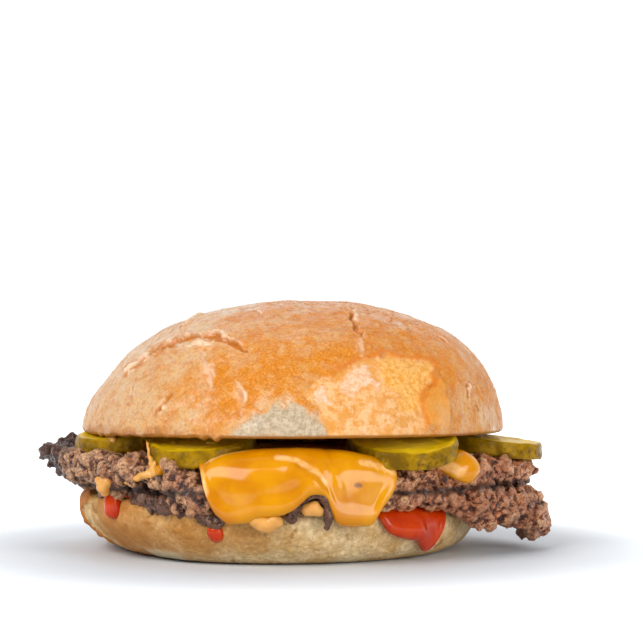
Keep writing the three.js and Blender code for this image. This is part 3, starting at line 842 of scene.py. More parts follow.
def crown_toast(points, angle):
    """How browned the crown is: less on its left, where the paler colour is partly a painted sheen, and
    most across the middle and right.
    """
    front = ease(angle, 222, 258) * (1 - 0.1 * ease(angle, 322, 360))
    back = 0.9 * (1 - ease(angle, 20, 190))
    height = 1 - 0.4 * (1 - ease(points[:, 2], 33, 41))
    return np.clip((front + back) * height + 0.14 * fractal(points, 16, 21, 3), 0, 1)


def crown_material():
    material, tree, shader = new_material(
        "bun_crown", Coat_Roughness=0.25, Subsurface_Weight=0.04, Subsurface_Scale=0.0015,
        Specular_IOR_Level=0.2,
    )
    spread = remap(mottle(tree, 8, 5, 0.7, 1), 0.36, 0.64, -0.5, 0.4)
    toast = plus(painted(tree, "toast"), spread, clamp=True)
    bleached = remap(mottle(tree, 3, 5, 0.75, 3), 0.5, 0.62, 0, 0.45)
    browned = remap(mottle(tree, 3, 5, 0.75, 9), 0.5, 0.64, 0, 0.6)
    grit = mottle(tree, 0.6, 4, 0.85, 2)
    crumbly = remap(mottle(tree, 1.1, 5, 0.8, 6), 0.38, 0.62)
    streaky = remap(mottle(tree, 2.4, 5, 0.75, 11), 0.42, 0.6)
    # the least browned colour, over the left, is partly a painted sheen
    colour = blend(toast, (0.62, 0.37, 0.175), (0.6, 0.19, 0.002))
    colour = blend(bleached, colour, (0.64, 0.36, 0.11))
    colour = blend(browned, colour, (0.53, 0.145, 0.003))
    colour = blend(remap(grit, 0.52, 0.64, 0, 0.5), colour, (0.35, 0.09, 0.003))
    colour = blend(remap(grit, 0.48, 0.37, 0, 0.35), colour, (0.8, 0.47, 0.15))
    peeled = blend(streaky, (0.66, 0.28, 0.05), (0.78, 0.44, 0.2))
    peeled = blend(remap(grit, 0.5, 0.62, 0, 0.3), peeled, (0.62, 0.22, 0.02))
    colour = layered(
        colour,
        ("peeled", 1, peeled),
        ("yellow", 1, blend(crumbly, (0.68, 0.27, 0.02), (0.82, 0.45, 0.14))),
        ("crumb", 1, blend(crumbly, (0.38, 0.28, 0.17), (0.58, 0.46, 0.32))),
        ("edge", 0.85, (0.6, 0.16, 0.004)),
        ("flake", 0.6, (0.72, 0.3, 0.04)),
        # painted highlights on the glazed crust
        ("glossy", 1, blend(crumbly, (0.7, 0.35, 0.16), (0.82, 0.53, 0.36))),
        ("pale", 1, (0.84, 0.58, 0.38)),
        ("deep", 1, (0.56, 0.17, 0.005)),
        ("torn", 0.8, (0.36, 0.11, 0.008)),
        # lip and underside: partly toasted crust, partly painted shade
        ("under", 0.95, (0.34, 0.12, 0.008)),
    )
    feed(shader, "Base Color", colour)
    rough = remap(mottle(tree, 2.6, 5, 0.7, 8), 0.36, 0.66, 0.3, 0.6)
    feed(shader, "Roughness", plus(rough, painted(tree, "crumb", 0.4), clamp=True))
    coat = remap(mottle(tree, 4, 5, 0.75, 12), 0.42, 0.58, 0.1, 0.8)
    coat = times(coat, remap(toast, 0, 1, 1, 0.3))
    feed(shader, "Coat Weight", plus(coat, painted(tree, "high", 0.5), clamp=True))
    roughen(shader, plus(times(grit, 0.8), mottle(tree, 2.4, 5, 0.75, 5)), 0.55, 0.8)
    return material


# Patties

def patty_top(rim, top_z, plateau, r, angle):
    reach, rim_top, _ = around(rim, angle)
    flat = top_z + tilt(np.minimum(r, plateau), angle)
    return mix(flat, rim_top, ease(r, plateau, reach - 1))


def lower_top(r, angle):
    return patty_top(LOWER_RIM, LOWER_PATTY_Z + PATTY_THICKNESS, PLATEAU_RADIUS, r, angle)


def upper_top(r, angle):
    return patty_top(UPPER_RIM, UPPER_PATTY_Z + PATTY_THICKNESS, UPPER_PLATEAU_RADIUS, r, angle)


def lower_floor(r, angle):
    return heel_top(r, angle) + KETCHUP_THICKNESS + 2 * GAP


def upper_floor(r, angle):
    edge = around(LOWER_CHEESE_REACH, angle)[0] + 1.2
    return lower_top(r, angle) + (CHEESE_THICKNESS + GAP) * (1 - ease(r, edge, edge + 2)) + GAP


def stack_reach(angle):
    return np.maximum(heel_reach(angle), around(LOWER_RIM, angle)[0])


def patty_outline(rim, bottom_z, top, beneath_reach, floor_z):
    """A patty's outline at every angle, over its top, round its rim and back beneath."""
    def at(angle):
        reach, rim_top, wanted = around(rim, angle)
        beneath = beneath_reach(angle)
        hangs = reach > beneath + 2.4
        wall = np.where(hangs, beneath + 1, reach - 2.4)

        def bottom(r):
            flat = bottom_z + tilt(np.minimum(r, PLATEAU_RADIUS), angle)
            return np.maximum(mix(flat, wanted, ease(r, PLATEAU_RADIUS, reach - 3)), floor_z(r, angle))

        rim_bottom = np.where(hangs, wanted, np.maximum(bottom(reach), bottom(wall)))
        zero = 0 * reach
        halfway = 0.5 * (wall + PLATEAU_RADIUS)
        places = [(zero, top(zero, angle))]
        places += [(r + zero, top(r + zero, angle)) for r in (PLATEAU_RADIUS - 8, reach - 14, reach - 6)]
        edge = ((2, 0.05), (0.7, 0.3), (0.9, 0.7))
        places += [(reach - inward, mix(rim_top, rim_bottom, down)) for inward, down in edge]
        places += [(np.maximum(reach - 2.2, wall + 0.5), rim_bottom), (wall, bottom(wall))]
        places += [(halfway, bottom(halfway)), (PLATEAU_RADIUS + zero, bottom(PLATEAU_RADIUS + zero))]
        places += [(zero, bottom_z + zero)]
        return outline_of(places)
    return at


# Chunks of meat that stand out of the rims: angle, reach, height and the three radii outwards, round and up
UPPER_CHUNKS = [
    (177, 61.8, 23.8, 4.4, 4, 2), (182, 57, 25, 4, 4.6, 2.6), (190, 57.4, 23.4, 3.6, 4.4, 3.2),
    (199, 56.4, 22, 3.4, 4, 3.4), (206, 56, 22.2, 3.6, 4.4, 3.6), (214, 54.8, 21.8, 3.2, 3.8, 3),
    (222, 54, 21.2, 3.6, 4.4, 3.8), (229, 54, 21.8, 3.6, 4.4, 3.8), (236.5, 52.8, 19.6, 3, 3.2, 2.6),
    (243, 53.4, 19.8, 3.4, 3.8, 4), (246, 54, 17.2, 3, 3.6, 3.8), (248.6, 54, 14.6, 2.2, 2.6, 2.2),
    (299, 50.6, 19.6, 2.4, 3, 1.6), (304, 51.4, 19.8, 2.4, 3, 1.8), (310, 51.8, 20, 2.4, 3, 1.8),
    (315, 51.4, 18.6, 2.6, 3, 1.8), (330, 53.8, 20.4, 3.2, 3.6, 1.8), (338, 56, 20.8, 3.4, 3.4, 1.8),
    (345, 58, 20.4, 3.4, 3.4, 1.8), (353, 59.8, 19.8, 3, 3.6, 1.5), (329, 50.6, 22, 3, 4.2, 1.7),
    (337, 53, 22, 3, 4.2, 1.7), (345.6, 55, 21.6, 3, 4, 1.7), (84, 53, 16, 2.8, 4.4, 4),
    (150, 55, 20.6, 3.4, 4.4, 3), (18, 55, 19.6, 3.6, 4, 2.6),
]
LOWER_CHUNKS = [
    (178, 51.6, 17.4, 1.6, 4, 1), (196, 51.4, 17.2, 1.6, 4, 1), (211, 51.6, 16.6, 1.8, 4, 1),
    (224.6, 52, 16.6, 1.8, 3, 1), (231, 52.6, 15.4, 1.8, 4, 1), (238, 52.8, 14.2, 1.6, 4, 1),
    (245, 52.8, 12.8, 1.5, 3.4, 0.9), (251.6, 52.6, 10.8, 1.4, 3.4, 1.3), (298, 50.6, 15.8, 2.2, 3.4, 2),
    (304, 51, 16, 2.4, 3.4, 2), (311, 51.4, 15.8, 2.6, 3.4, 2.2), (319, 52.6, 15, 2.8, 3.4, 2.6),
    (327, 55, 12.6, 3, 3.4, 4), (333, 56.6, 13.4, 3.2, 3.4, 2.8), (338, 57.6, 10.6, 3, 3, 2.8),
    (344, 59.6, 12.4, 3.4, 3.4, 2.6), (350, 61.6, 9.6, 3.6, 3.6, 3.2), (356, 61.8, 6.6, 3.2, 3.6, 2.8),
    (3, 60, 8.6, 3.4, 4.4, 3.4), (12, 57, 11, 3.4, 4, 3.4), (96, 51.6, 13.4, 2.6, 4, 2.6),
    (135, 54, 15, 2.8, 4.4, 2.8),
]
# The crisp loop of meat under the cheese: angle, reach, height and thickness
CRISP_LOOP = [
    (271.5, 52.4, 11.6, 1.5), (273, 53, 14.8, 1.3), (275.6, 53.4, 17.2, 1.5), (278.4, 53.6, 17.6, 1.6),
    (280.6, 53.6, 15.4, 1.2), (280.8, 53.4, 12.4, 1.2), (280, 53.2, 9.6, 0.9),
]
RIGHT_THREAD = [(351, 57, 20.6, 1.6), (353, 59.4, 21, 1), (355, 61.4, 20.6, 0.7), (356.4, 62.6, 20.2, 0.5)]


def sampled(points, faces, count, weight, random):
    """Random places on faces, with their normals, more of them where weight is greater."""
    corners = points[faces]
    cross = np.cross(corners[:, 1] - corners[:, 0], corners[:, 2] - corners[:, 0])
    area = np.linalg.norm(cross, axis=1)
    chance = area * weight(corners.mean(axis=1))
    chosen = random.choice(len(faces), count, p=chance / chance.sum())
    u, v = np.sort(random.random((2, count)), axis=0)
    w = np.stack([u, v - u, 1 - v], -1)
    return np.einsum("nk,nkj->nj", w, corners[chosen]), cross[chosen] / area[chosen][:, None]


def strand(track, random, spacing=0.7):
    """Balls along a track of angle, reach, height and thickness, uneven ones where random is given."""
    stations = np.array(track, float)
    line = polar(stations[:, 1], stations[:, 0], stations[:, 2])
    steps = np.linalg.norm(np.diff(line, axis=0), axis=1)
    along = np.concatenate([[0], np.cumsum(steps)])
    places = np.arange(0, along[-1], spacing)
    centres = np.stack([np.interp(places, along, line[:, k]) for k in range(3)], -1)
    size = np.interp(places, along, stations[:, 3])
    if random is None:
        return centres, np.tile(size[:, None], 3)
    radii = size[:, None] * random.uniform(0.75, 1.25, (len(places), 3))
    return centres + random.normal(0, 0.12, centres.shape), radii


def make_patty(name, node, rim, outline_at, chunks, track, seed):
    random = np.random.default_rng(seed)
    angles = spaced((241, 0, 360))
    table = np.array(chunks, float)
    axes = np.stack([
        polar(1, table[:, 0], 0),
        polar(1, table[:, 0] + 90, 0),
        np.tile([0, 0, 1.0], (len(table), 1)),
    ], -1)
    centres = polar(table[:, 1] - 1, table[:, 0], table[:, 2])
    body = join([loft(angles, outline_at(angles)), lumps(centres, table[:, 3:6], axes, 3, seed, 0.3)])

    def near_rim(places):
        reach = around(rim, angle_of(places))[0]
        front = 1 + 0.8 * ease(-places[:, 1], -10, 20)
        return ease(reach_of(places), reach - 11, reach - 5) * front + 1e-6

    spots, ways = sampled(*body, 4400, near_rim, random)
    count = len(spots)
    size = random.gamma(5, 0.16, count)[:, None] * random.uniform(0.6, 1.5, (count, 3))
    placed = spots + ways * random.uniform(-0.5, 0.45, (count, 1))
    small = lumps(placed, size, turns(count, random), 2, seed + 1)
    at, radii = strand(track, random)
    points, faces = join([body, small, lumps(at, radii, turns(len(at), random), 2, seed + 2)])
    piece = skin(name, points, faces, 0.44, 1)
    crumble(piece, seed)
    dress(piece, node, meat)


def smoothed(piece, points, rounds):
    """The points of a piece after they have moved rounds times to the middle of their neighbours."""
    edges = edges_of(piece)
    first, second = edges.T
    size = len(points)
    count = np.bincount(edges.ravel(), minlength=size)[:, None]
    for _ in range(rounds):
        total = [
            np.bincount(first, points[second, k], size) + np.bincount(second, points[first, k], size)
            for k in range(3)
        ]
        points = np.stack(total, -1) / count
    return points


def crumble(piece, seed):
    """Fine grains, pits and threads over the meat, with the values that colour it."""
    points = of_vertices(piece, "co") / MM
    bent = points + 0.7 * shifts(points, 2, seed + 30)
    coarse, second = grains(bent * (1, 1, 1.2), 1.45, seed)
    fine, _ = grains(bent, 0.8, seed + 3)
    relief = 0.45 * (0.5 - coarse) + 0.35 * (0.5 - fine) + 0.45 * fractal(points, 3.4, seed, 3)
    pits = 1 - ease(fractal(points, 1.7, seed + 9, 3), -0.85, -0.4)
    rough = points + normals_of(piece) * (relief - 0.7 * pits)[:, None]
    move_points(piece, rough)
    normals = normals_of(piece)
    angle = angle_of(points)
    z = points[:, 2]
    ruddy = ease(angle, 285, 315) + 1 - ease(angle, 5, 60)
    if piece.name == "patty_upper_meat":
        dark = 1 - ease(np.abs(angle - 183.5), 11, 24)
    else:
        # the lower patty darker on its left, partly its own dark glaze and partly painted shade under the
        # upper patty's overhang, and darker behind the crisp loop
        dark = 0.8 * band(angle, 205, 214, 262, 272)
        dark += 0.9 * band(angle, 269.5, 271, 281, 283) * (1 - ease(z, 15.2, 17))
    # grain and bulge, the relief's hollows and tips, colour the meat darker and paler: painted shade and
    # painted highlights
    paint(
        piece,
        grain=np.einsum("ij,ij->i", rough - smoothed(piece, rough, 5), normals),
        bulge=np.einsum("ij,ij->i", rough - smoothed(piece, rough, 60), normals),
        # painted shade in the crevices between grains
        seam=1 - ease(second - coarse, 0.02, 0.2),
        char=ease(fractal(points, 8, seed + 20, 3) + 0.45 * ruddy, 0, 0.7),
        dark=np.clip(dark, 0, 1),
        # a painted shade band in the crevice between the two patties
        gap=np.exp(-(((z - 17 - 0.5 * noise(points, 6, 77)) / 0.75) ** 2)),
        ruddy=ruddy * mix(0.5, 1, ease(fractal(points, 6, seed + 40, 2), -0.4, 0.4)),
    )


def meat_material():
    material, tree, shader = new_material(
        "beef", Specular_IOR_Level=0.45, Coat_Weight=0.35, Coat_Roughness=0.14,
    )
    bulge = remap(painted(tree, "bulge"), -0.9, 0.8)
    grain = remap(painted(tree, "grain"), -0.13, 0.15)
    speck = remap(mottle(tree, 0.42, 4, 0.8, 1), 0.38, 0.62)
    blotch = remap(mottle(tree, 2.2, 3, 0.7, 9), 0.38, 0.62)
    # dark in the relief's hollows and pale on its tips: painted shade and painted highlights, mixed with
    # random specks and blotches
    lift = plus(times(bulge, 0.34), times(grain, 0.28))
    lift = plus(plus(lift, times(speck, 0.38)), times(blotch, 0.2))
    colour = blend(remap(lift, 0.34, 0.7), (0.02, 0.005, 0.002), (0.25, 0.077, 0.028))
    grey = times(remap(mottle(tree, 4.5, 3, 0.6, 2), 0.42, 0.58), remap(lift, 0.42, 0.75, 0, 0.8))
    colour = blend(grey, colour, (0.39, 0.167, 0.072))
    # the palest colour, on the highest tips, is a painted highlight
    colour = blend(remap(lift, 0.68, 0.98, 0, 0.95), colour, (0.76, 0.41, 0.2))
    fried = blend(remap(lift, 0.32, 0.8), (0.04, 0.007, 0.002), (0.74, 0.19, 0.038))
    fried = blend(remap(lift, 0.74, 1, 0, 0.9), fried, (0.88, 0.54, 0.3))
    colour = layered(
        colour,
        ("ruddy", 1, fried),
        ("char", 0.6, blend(remap(lift, 0.34, 0.84), (0.025, 0.005, 0.002), (0.38, 0.11, 0.035))),
        # painted shade in the crevices between grains
        ("seam", 0.45, (0.035, 0.01, 0.004)),
        # darker parts, on the lower patty partly painted shade
        ("dark", 1, blend(remap(lift, 0.5, 1.05), (0.02, 0.005, 0.002), (0.11, 0.032, 0.014))),
        # painted shade in the crevice between the two patties
        ("gap", 0.85, (0.02, 0.006, 0.003)),
    )
    feed(shader, "Base Color", colour)
    feed(shader, "Roughness", remap(mottle(tree, 1.2, 3, 0.6, 4), 0.4, 0.62, 0.15, 0.6))
    roughen(shader, mottle(tree, 0.55, 4, 0.75, 5), 0.8, 1)
    return material


# Cheese

def spline_points(corners, per_span=14):
    """Points of a smooth curve through corners, given as [angle, corner, (r, z)]."""
    first = 2 * corners[:, :1] - corners[:, 1:2]
    last = 2 * corners[:, -1:] - corners[:, -2:-1]
    padded = np.concatenate([first, corners, last], axis=1)
    t = shares(per_span + 1)[:-1][None, None, :, None]
    p0, p1, p2, p3 = (padded[:, k:padded.shape[1] - 3 + k, None, :] for k in range(4))
    curve = 0.5 * (
        2 * p1 + (p2 - p0) * t + (2 * p0 - 5 * p1 + 4 * p2 - p3) * t**2 + (3 * p1 - p0 - 3 * p2 + p3) * t**3
    )
    flat = curve.reshape(len(corners), -1, 2)
    return np.concatenate([flat, corners[:, -1:]], axis=1)


def sheet_outline(path, knee, length, thickness, stops, lip):
    """A sheet along a path at every angle: its outer face, a rounded end and its inner face."""
    outline = []
    end = np.radians(shares(10, 90, -90)[1:-1])
    for line, low, long in zip(path, knee, length):
        steps = np.linalg.norm(np.diff(line, axis=0), axis=1)
        along = np.concatenate([[0], np.cumsum(steps)])
        hanging = shares(stops, low - 8, max(long, low - 7))
        places = np.concatenate([[0], shares(14, 0.35, 0.9) * (low - 8), hanging])
        places = places * min(1.0, long / places[-1])
        r = np.interp(places, along, line[:, 0])
        z = np.interp(places, along, line[:, 1])
        dr = np.gradient(r, places)
        dz = np.gradient(z, places)
        size = np.hypot(dr, dz) + 1e-9
        nr, nz = -dz / size, dr / size
        thick = thickness(places, low) + lip * ease(places, long - 4, long - 0.8) * ease(long, low, low + 3)
        half = 0.5 * thick[-1]
        centre_r = r[-1] + nr[-1] * half
        centre_z = z[-1] + nz[-1] * half
        tip_r = centre_r + half * (nr[-1] * np.sin(end) + dr[-1] / size[-1] * np.cos(end))
        tip_z = centre_z + half * (nz[-1] * np.sin(end) + dz[-1] / size[-1] * np.cos(end))
        outer = np.stack([r + nr * thick, z + nz * thick], -1)
        inner = np.stack([r, z], -1)[::-1]
        outer[0, 0] = 0
        inner[-1, 0] = 0
        outline.append(np.concatenate([outer, np.stack([tip_r, tip_z], -1), inner]))
    result = np.array(outline)
    result[:, 0] = result[:, 0].mean(axis=0)
    result[:, -1] = result[:, -1].mean(axis=0)
    return result


def drape_path(angle):
    """The way the melted slice takes over the upper patty's rim and down the stack."""
    reach, rim_top, rim_bottom, stack, lower_rim_top = level_rim(angle)
    outside = np.maximum(reach, stack)
    middle = mix(rim_top, rim_bottom, 0.4)
    low = np.maximum(rim_top - 4.4, lower_rim_top + 1.2)
    knee_z = np.maximum(middle, rim_top - 3.4)
    lower_z = np.minimum(low, knee_z - 1)
    zero = 0 * reach
    inner = (0, 20, PLATEAU_RADIUS, reach - 9, reach - 4.5)
    corners = [(r + zero, upper_top(r + zero, angle) + GAP) for r in inner]
    corners += [(reach - 0.8, rim_top + 0.7), (reach + 1, knee_z)]
    corners += [(outside + 1.2, lower_z), (outside + 1.2, lower_z - 4), (outside + 0.8, zero + 4)]
    stacked = outline_of(corners)
    to_knee = np.linalg.norm(np.diff(stacked[:, :7], axis=1), axis=2).sum(axis=1)
    return spline_points(stacked), to_knee


# Swellings of the melted cheese: angle, height, half width, half height and how far it stands out
CHEESE_SWELLS = [
    (260.5, 22.4, 6.5, 4, 0.6), (260, 16.2, 6, 3.4, 0.7), (268, 17, 7, 6, 0.5), (273, 22.6, 5, 3, 0.6),
    (286, 13, 4, 4.4, 0.5), (319.2, 23.8, 4.6, 4.2, 2.8), (83, 15, 8, 6, 1), (64, 18, 6, 4, 0.8),
]
CHEESE_CREASE = [(273, 24), (277.4, 22.2), (280.2, 19), (281, 16)]
# Pale streaks where the cheese is stretched, some of them painted highlights along its folds: half width in
# millimetres and a track of angle and height
CHEESE_STREAKS = [
    (1.1, [(249.4, 22.6), (250.6, 20), (251.6, 17.6)]),
    (0.7, [(250.6, 24.4), (255, 26.4), (260, 27.4)]),
    (0.8, [(268, 25), (273, 24.2), (277.4, 22.4), (279.6, 20)]),
    (1, [(289, 24), (294, 22.8), (298.4, 21.4)]),
    (1.2, [(312.4, 25), (314, 22.4), (316, 20.8)]),
]
# The scrap of meat in the cheese: angle and height, and its half sizes in degrees and millimetres
MEAT_SCRAP = (287.6, 18.9, 1.29, 0.7)


def from_line(angle, z, track):
    """Distance, over the face of the stack, from a track of angle and height."""
    place = np.stack([angle * MM_PER_DEGREE, z], -1)
    line = np.array(track, float) * (MM_PER_DEGREE, 1)
    best = np.full(len(place), 1e9)
    for a, b in zip(line[:-1], line[1:]):
        best = np.minimum(best, np.linalg.norm(to_segment(place, a, b)[1], axis=1))
    return best


def level_rim(angle):
    """The upper patty's rim and the stack's reach, evened out so that the cheese lies smoothly on them."""
    total = 0
    for shift in (-7, -3.5, 0, 3.5, 7):
        reach, rim_top, rim_bottom = around(UPPER_RIM, angle + shift)
        lower = around(LOWER_RIM, angle + shift)[1]
        total = total + np.stack([reach, rim_top, rim_bottom, stack_reach(angle + shift), lower])
    return total / 5


def make_cheese():
    angles = spaced((150, 0, 225), (330, 225, 335), (40, 335, 360))
    path, knee = drape_path(angles)
    length = knee + around(UPPER_DRAPE, angles)[0]

    def thickness(places, low):
        return mix(CHEESE_THICKNESS, DRAPE_THICKNESS + 0.3, ease(places, low - 9, low + 1))

    outline = sheet_outline(path, knee, length, thickness, 64, 0.7)
    points, faces = loft(angles, outline)
    piece = new_object("melted_cheese", new_mesh("melted_cheese", points, faces))
    rings = outline.shape[1] - 2
    outer_ring = np.arange(rings) < rings // 2 + 2
    outer = np.concatenate([np.repeat(outer_ring, len(angles)), [True, False]])
    angle = angle_of(points)
    reach = reach_of(points)
    z = points[:, 2]
    push = 0.25 * noise(points, 9, 5)
    for centre, height, wide, tall, out in CHEESE_SWELLS:
        across = (angle - centre) * MM_PER_DEGREE / wide
        push += out * np.exp(-1.2 * (across**2 + ((z - height) / tall) ** 2))
    crease = from_line(angle, z, CHEESE_CREASE)
    push += 0.35 * np.exp(-(((crease - 2) / 1.1) ** 2)) - 0.6 * np.exp(-(crease**2))
    # pale streaks, partly painted highlights along the folds
    pale = np.zeros(len(points))
    for wide, track in CHEESE_STREAKS:
        pale = np.maximum(pale, 1 - ease(from_line(angle, z, track), 0.4 * wide, wide))
    moved = points + normals_of(piece) * (push * ease(reach, 40, 47) * outer)[:, None]
    move_points(piece, mix(moved, smoothed(piece, moved, 9), ease(reach, 40, 46)[:, None]))
    centre, height, wide, tall = MEAT_SCRAP
    scrap = (1 - ease(np.hypot((angle - centre) / wide, (z - height) / tall), 0.5, 1.1)) * outer
    paint(piece, scrap=scrap, streak=pale, inner=1 - ease(reach, 40, 48))
    dress(piece, "cheese_upper", cheese)


def cheese_material():
    material, tree, shader = new_material(
        "cheese", Roughness=0.13, Subsurface_Weight=0.2, Subsurface_Scale=0.0025,
        Subsurface_Radius=(1, 0.45, 0.02),
    )
    cloud = remap(mottle(tree, 7, 3, 0.5, 1), 0.3, 0.7)
    colour = blend(cloud, (0.5, 0.165, 0.0001), (0.61, 0.25, 0.0003))
    # pale streaks, partly painted highlights along the folds
    streaks = times(painted(tree, "streak"), remap(mottle(tree, 2.5, 3, 0.6, 4), 0.3, 0.6, 0.15, 0.6))
    colour = layered(blend(streaks, colour, (0.88, 0.55, 0.24)), ("scrap", 0.8, (0.14, 0.04, 0.01)))
    feed(shader, "Base Color", colour)
    # no gloss deep inside the stack, where it would only mirror the light behind
    feed(shader, "Specular IOR Level", remap(painted(tree, "inner"), 0, 1, 0.3, 0))
    roughen(shader, mottle(tree, 6, 2, 0.4, 2), 0.12, 0.3)
    return material


# Ketchup and sauce

# Drips of ketchup, each a run of angle, reach, height and thickness
KETCHUP_DRIPS = {
    "ketchup_drip": [(220.2, 53.6, 16, 2), (220.2, 53.7, 13.6, 2.2), (220.2, 53.5, 12, 2.3)],
    "ketchup_drop": [(251.8, 50.8, 9, 1.9), (252, 50.9, 8.2, 2.2), (252.1, 50.7, 7.8, 2.2)],
}


def make_ketchup_drips():
    for number, (name, track) in enumerate(KETCHUP_DRIPS.items()):
        centres, radii = strand(track, None, 0.4)
        level = np.tile(np.eye(3), (len(centres), 1, 1))
        points, faces = lumps(centres, radii, level, 3, 480 + number, 0.03)
        dress(skin(name, points, faces, 0.26, 12), None, ketchup)


def make_ketchup():
    angles = spaced(
        (60, 0, 96), (40, 96, 114), (50, 114, 208), (60, 208, 228), (30, 228, 290), (110, 290, 325),
        (20, 325, 360),
    )
    reach = heel_reach(angles)
    edge = heel_edge_z(angles)
    zero = 0 * reach
    inner = (0, 18, 0.62 * reach, 0.8 * reach, reach - 3)
    corners = [(r + zero, heel_top(r + zero, angles) + 0.2) for r in inner] + [(reach - 0.2, edge + 0.2)]
    corners += [(heel_side(s * edge, angles) + 0.35, s * edge) for s in (0.86, 0.6, 0.4, 0.22, 0.1)]
    run = around(KETCHUP_RUN, angles)[0]

    def thickness(places, low):
        return mix(KETCHUP_THICKNESS, 1.3, ease(places, low + 0.5, low + 2.5))

    path = spline_points(outline_of(corners))
    points, faces = loft(angles, sheet_outline(path, reach + 0.8, reach + run, thickness, 44, 0.9))
    piece = new_object("ketchup_layer", new_mesh("ketchup_layer", points, faces))
    out = reach_of(points)
    swell = 0.9 * np.exp(-(((angle_of(points) - 306.5) / 6) ** 2)) * ease(out, 45, 49)
    swell *= points[:, 2] < 12.5
    moved = points + normals_of(piece) * (swell + 0.03 * noise(points, 4, 3))[:, None]
    move_points(piece, mix(moved, smoothed(piece, moved, 10), ease(out, 42, 46)[:, None]))
    dress(piece, "ketchup", ketchup)


def ketchup_material():
    material, tree, shader = new_material(
        "ketchup", Roughness=0.12, Subsurface_Weight=0.2, Subsurface_Scale=0.0015,
        Subsurface_Radius=(1, 0.2, 0.02), Specular_IOR_Level=0.28,
    )
    cloud = remap(mottle(tree, 3, 3, 0.5, 1), 0.3, 0.7)
    feed(shader, "Base Color", blend(cloud, (0.44, 0.024, 0.0002), (0.51, 0.042, 0.0003)))
    roughen(shader, mottle(tree, 4, 2, 0.5, 2), 0.1, 0.25)
    return material


def sauce_material():
    material, tree, shader = new_material(
        "burger_sauce", Roughness=0.22, Subsurface_Weight=0.25, Subsurface_Scale=0.002,
        Specular_IOR_Level=0.35,
    )
    specks = remap(mottle(tree, 0.7, 3, 0.7, 1), 0.6, 0.7)
    feed(shader, "Base Color", blend(times(specks, 0.5), (0.64, 0.31, 0.07), (0.54, 0.19, 0.025)))
    roughen(shader, mottle(tree, 2, 3, 0.5, 2), 0.2, 0.4)
    return material


# Smears of burger sauce, each a run of angle, reach, height and thickness, and the solid it stands for
SAUCES = {
    "sauce_on_lower_patty": ("sauce_drip_left", [
        (219, 56.8, 18.9, 1.1), (222.6, 56.8, 18.7, 1.2), (220.8, 56.8, 17.6, 1.5), (220.6, 56, 16, 1.2)]),
    "sauce_under_cheese": ("sauce_drip_front", [
        (260.6, 53.4, 12.2, 0.9), (263.4, 53.8, 11.2, 1.7), (266, 53.8, 10, 2), (268.4, 53.6, 11.4, 1.2)]),
    "sauce_on_lump": (None, [
        (228.4, 55.9, 18.8, 0.5), (231, 56, 19.8, 0.8), (234, 55.6, 20.8, 0.9), (237.6, 54.6, 21.4, 0.7),
        (236, 54.8, 22.4, 0.8), (236.6, 54.4, 23.6, 0.7)]),
    "sauce_strand": (None, [
        (231.8, 52.4, 28.6, 0.35), (233.2, 53.2, 26.6, 0.5), (234.8, 54, 24.4, 0.6), (236, 54.6, 23, 0.8)]),
    "sauce_in_loop": (None, [(275, 52.6, 13.4, 1.3), (277, 53, 14, 1.5), (278.6, 52.8, 13, 1.2)]),
    "sauce_on_pickle": (None, [(214.2, 51.2, 28.4, 0.9), (216, 51.4, 28.2, 0.8)]),
}


def make_sauces():
    for number, (name, (node, track)) in enumerate(SAUCES.items()):
        random = np.random.default_rng(500 + number)
        centres, radii = strand(track, random, 0.5)
        points, faces = lumps(centres, radii, turns(len(centres), random), 2, number, 0.1)
        piece = skin(name, points, faces, 0.28, 8)
        dress(piece, node, sauce)


# Pickles

def make_pickle(node, x, y, radius, middle, slope_x, slope_y, seed):
    name = node + "_slice"
    count = 180
    turn = spaced((count + 1, 0, 360))
    wavy = 1 + 0.012 * np.sin(5 * np.radians(turn) + x) + 0.01 * np.sin(9 * np.radians(turn))
    top = [(s, 1.0) for s in shares(34, 0.03, 0.955)]
    bend = [(0.955 + 0.05 * math.sin(t), 1 - 0.16 * (1 - math.cos(t))) for t in shares(6, 0.2, 1.5)]
    side = [(1.008, level) for level in shares(12, 0.8, 0.16)]
    foot = [(1.0, 0.08), (0.97, 0.01)]
    beneath = [(s, 0.0) for s in shares(12, 0.93, 0.04)]
    profile = np.array(top + bend + side + foot + beneath)
    spread = profile[:, :1] * radius * wavy[None]
    dx = spread * cosine(turn)[None]
    dy = spread * sine(turn)[None]
    rest = middle + slope_x * dx + slope_y * dy + 0.3
    rings = np.stack([x + dx, y + dy, rest + profile[:, 1:] * PICKLE_THICKNESS], -1)
    points, faces = closed(rings, rings[0].mean(axis=0), rings[-1].mean(axis=0))
    piece = new_object(name, new_mesh(name, points, faces))
    share = np.concatenate([np.repeat(profile[:, 0], count), [0, 0]])
    level = np.concatenate([np.repeat(profile[:, 1], count), [1, 0]])
    turned = np.concatenate([np.tile(turn, len(rings)), [0, 0]])
    rim = ease(share, 0.985, 1.0)
    ridges = 0.05 * np.sin(np.radians(turned) * 30 + 3 * noise(points, 5, seed))
    warts = 0.3 * ease(fractal(points, 2.1, seed, 2), 0.35, 0.9)
    seeds = 0.3 * ease(fractal(points, 2.4, seed + 5, 2), 0.25, 0.8) * band(share, 0.15, 0.3, 0.6, 0.75)
    sag = -0.35 * band(share, 0.1, 0.8, 0.8, 0.95)
    flat = (seeds + sag) * (level > 0.9) + 0.12 * noise(points, 3, seed + 7)
    push = rim * (ridges + warts) + (1 - rim) * flat
    move_points(piece, points + normals_of(piece) * push[:, None])
    patchy = 0.35 + 0.65 * ease(noise(points, 6, seed + 9), -0.5, 0.4)
    dotted = ease(share, 0.96, 1.0) * (1 - ease(level, 0.55, 0.95)) * patchy
    paint(piece, skin=ease(share, 0.93, 1.0), dotted=dotted, seeds=band(share, 0.2, 0.35, 0.6, 0.72))
    dress(piece, node, pickle)


